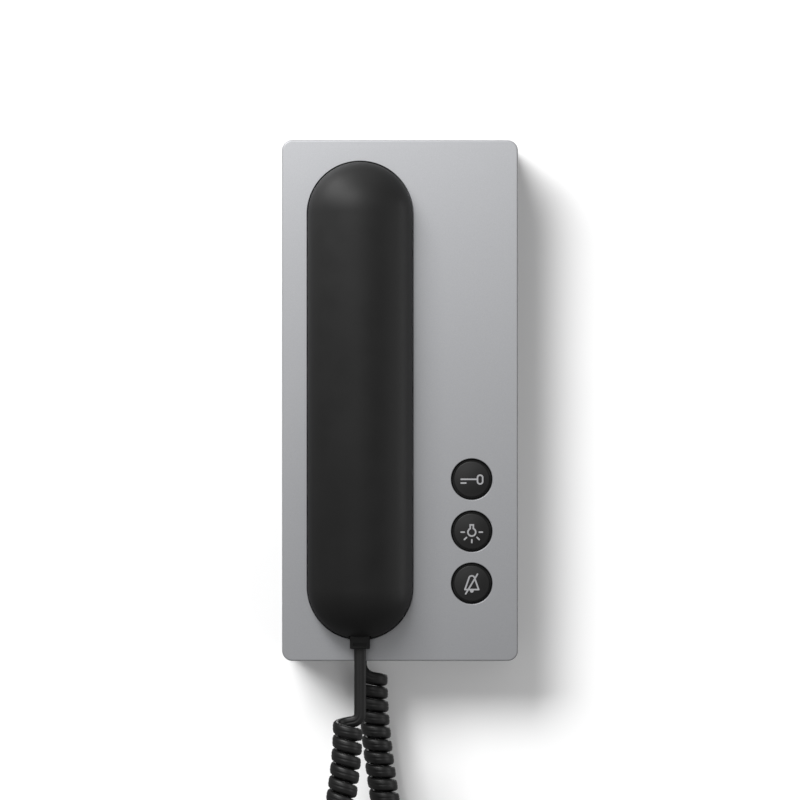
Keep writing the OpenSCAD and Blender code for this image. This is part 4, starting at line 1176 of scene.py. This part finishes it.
# %% Solder mask with traces
board = new_finish("green solder mask", Roughness=0.3, Coat_Weight=0.3)
board_place = add_node(board, "ShaderNodeTexCoord").outputs["Object"]
board_flat = add_node(board, "ShaderNodeMapping", {"Vector": board_place, "Rotation": (pi / 2, 0, 0)})
trace_inputs = {"Vector": board_flat.outputs["Vector"], "Scale": 60.0, "Mortar Size": 0.012}
trace_inputs |= {"Color1": (0.012, 0.11, 0.035, 1), "Color2": (0.015, 0.13, 0.04, 1)}
trace_inputs |= {"Mortar": (0.03, 0.2, 0.07, 1)}
traces = add_node(board, "ShaderNodeTexBrick", trace_inputs)
feed(board, "Base Color", traces.outputs["Color"])
feed(board, "Normal", bumps(board, traces.outputs["Fac"], 0.03))
dress(board, "main_board")
print("finishes:", len([m for m in bpy.data.materials if m.users]))


# %% [markdown]
# ## The cord joins the frame
#
# The lead goes with the handset, and the last curls stay at the housing. Each half blends between the
# two bodies along its height: it keeps to its own end at the top and is half way between them at the
# foot of the loop, where the halves meet. So both strands lean a little as the handset is lifted, and
# the foot follows by half the way, as a hanging cord does.

def hang(half):
    """Shades a half of the cord softly."""
    take(half)
    bpy.ops.object.shade_smooth_by_angle(angle=radians(50))


meeting = stations[foot][0]
front_top, rear_top = spot(0, 0, guide_a.y), spot(0, 0, guide_b.y)
front_below, rear_below = spot(0, 0, 2 * meeting.y - guide_a.y), spot(0, 0, 2 * meeting.y - guide_b.y)
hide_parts("cord_lead", "cord_coil")
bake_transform(front_half, "base", "handset", start=front_below, end=front_top)
hang(front_half)
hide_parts("cord_coil")
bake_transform(rear_half, "base", "handset", start=rear_top, end=rear_below)
hang(rear_half)
print("halves meet at", [round(v, 1) for v in meeting], "mm")


# %% [markdown]
# ## Wall
#
# The photograph has a white wall. Here it is a plane just behind the object. An inset and a delete open
# it behind the wall plate, and its back is clear, so that the object can be seen from behind too. The
# object doesn't mirror it or take its bounced light: the photograph keeps the black pieces' sides dark.

# %% Wall
WALL_SIDE = 4.0
WALL_GAP = 0.0008
OPENING_W, OPENING_H = 0.08, 0.19
wall = begin(
    "wall",
    bpy.ops.mesh.primitive_plane_add,
    size=WALL_SIDE,
    location=(0, WALL_GAP, 0),
    rotation=(pi / 2, 0, 0),
)
bpy.ops.mesh.select_all(action="SELECT")
bpy.ops.mesh.inset(thickness=(WALL_SIDE - OPENING_W) / 2)
bpy.ops.transform.resize(value=(1, 1, OPENING_H / OPENING_W), center_override=(0, WALL_GAP, 0))
bpy.ops.mesh.delete(type="FACE")
leave_edit()
wall.visible_diffuse = wall.visible_glossy = False
wall_paint = new_finish("white wall paint", Roughness=0.9, Specular_IOR_Level=0.1)
roller = grain(wall_paint, 60, 2.0)
feed(wall_paint, "Base Color", two_tones(wall_paint, roller, grey(0.892), grey(0.908)))
side = add_node(wall_paint, "ShaderNodeNewGeometry")
clear = add_node(wall_paint, "ShaderNodeBsdfTransparent")
paint = wall_paint.node_tree.nodes["Principled BSDF"]
front_or_back = add_node(
    wall_paint,
    "ShaderNodeMixShader",
    {0: side.outputs["Backfacing"], 1: paint.outputs["BSDF"], 2: clear.outputs["BSDF"]},
)
surface = wall_paint.node_tree.nodes["Material Output"].inputs["Surface"]
wall_paint.node_tree.links.new(front_or_back.outputs["Shader"], surface)
dress(wall_paint, "wall")
print("wall opened by", OPENING_W, "by", OPENING_H, "m")

# %% [markdown]
# ## Light
#
# One large soft light from the upper left makes the photograph's picture. Its shadow on the wall is that
# of the flat housing, wide and soft, while the black pieces show only narrow streaks of light. One lamp
# can't do both, so light linking shares the work: a big round lamp, far off, reaches only the wall and
# shines past the handset, and nearer, smaller ones reach only the object. Weak glows lift the handset's
# rims, a light from behind shines through the wall, and a pale world fills the rest.

# %% Kinds of light
def soft_light(name, place, target, size, power):
    """A rectangular soft light that looks at a place."""
    data = bpy.data.lights.new(name, "AREA")
    data.shape = "RECTANGLE"
    data.size, data.size_y = size
    data.energy = power
    lamp = add_object(name, data)
    lamp.location = place
    lamp.rotation_euler = (Vector(target) - Vector(place)).to_track_quat("-Z", "Y").to_euler()
    lamp.visible_camera = False
    return lamp


def linked(name, pieces, state):
    """A collection of pieces for light linking: only these, or all but these."""
    group = bpy.data.collections.new(name)
    for piece in pieces:
        group.objects.link(piece)
    for link in group.collection_objects:
        link.light_linking.link_state = state
    return group


def reach(lamp, *pieces, state="INCLUDE"):
    """Lets a light reach only some pieces, or all but those."""
    lamp.light_linking.receiver_collection = linked(lamp.name + " reaches", pieces, state)


def shine_past(lamp, pieces):
    """Lets a light shine through pieces as if they weren't there."""
    lamp.light_linking.blocker_collection = linked(lamp.name + " passes", pieces, "EXCLUDE")


print("lights so far:", len(bpy.data.lights))

# %% Lights for the wall
wall_key = soft_light("wall key", (-2.77, -3.2, 3.42), (-2.77, 0, 3.42), (4.0, 3.68), 580)
wall_key.data.shape = "ELLIPSE"
reach(wall_key, wall)
meshes = [o for o in bpy.context.scene.objects if o.type == "MESH"]
shine_past(wall_key, [o for o in meshes if body_of(o) == ["handset"]])
reach(soft_light("wall graze", (-2, -0.6, 1.9), (-0.05, 0, 0), (0.6, 0.6), 20), wall)
reach(soft_light("wall side", (0.5, -0.5, -0.3), (0.05, 0, -0.1), (0.5, 0.5), 1.1), wall)
print("lights on the wall:", len(bpy.data.lights))

# %% Lights for the object
object_key = soft_light("object key", (-0.195, -0.4, 0.4), (0.05, 0, 0.4), (0.36, 0.28), 6.1)
front_fill = soft_light("front fill", (-0.12, -0.9, 0.3), (0, 0, 0), (0.5, 0.8), 2.6)
reach(object_key, wall, state="EXCLUDE")
reach(front_fill, wall, state="EXCLUDE")
right_fill = soft_light("right fill", (0.55, -0.2, 0), (0, -0.03, 0), (0.25, 0.6), 1.0)
reach(right_fill, shell, front_half, rear_half)
reach(soft_light("dome glow", (-0.14, -0.06, 0.21), (-0.0154, -0.03, 0.085), (0.12, 0.1), 0.55), shell)
reach(soft_light("panel glow", (0.026, -0.028, 0), (0.004, -0.034, 0), (0.012, 0.17), 0.02), shell)
back_light = soft_light("back light", (0.3, 0.9, 0.45), (0, 0, 0), (0.6, 0.6), 5)
shine_past(back_light, [wall])
world = bpy.data.worlds.new("pale room")
world.use_nodes = True
sky = world.node_tree.nodes["Background"].inputs
sky["Color"].default_value = (1, 1, 1, 1)
sky["Strength"].default_value = 0.34
bpy.context.scene.world = world
view = bpy.context.scene.view_settings
view.view_transform, view.look = "Standard", "None"
print("lights:", len(bpy.data.lights))

# %% Leave edit mode and finish
leave_edit()
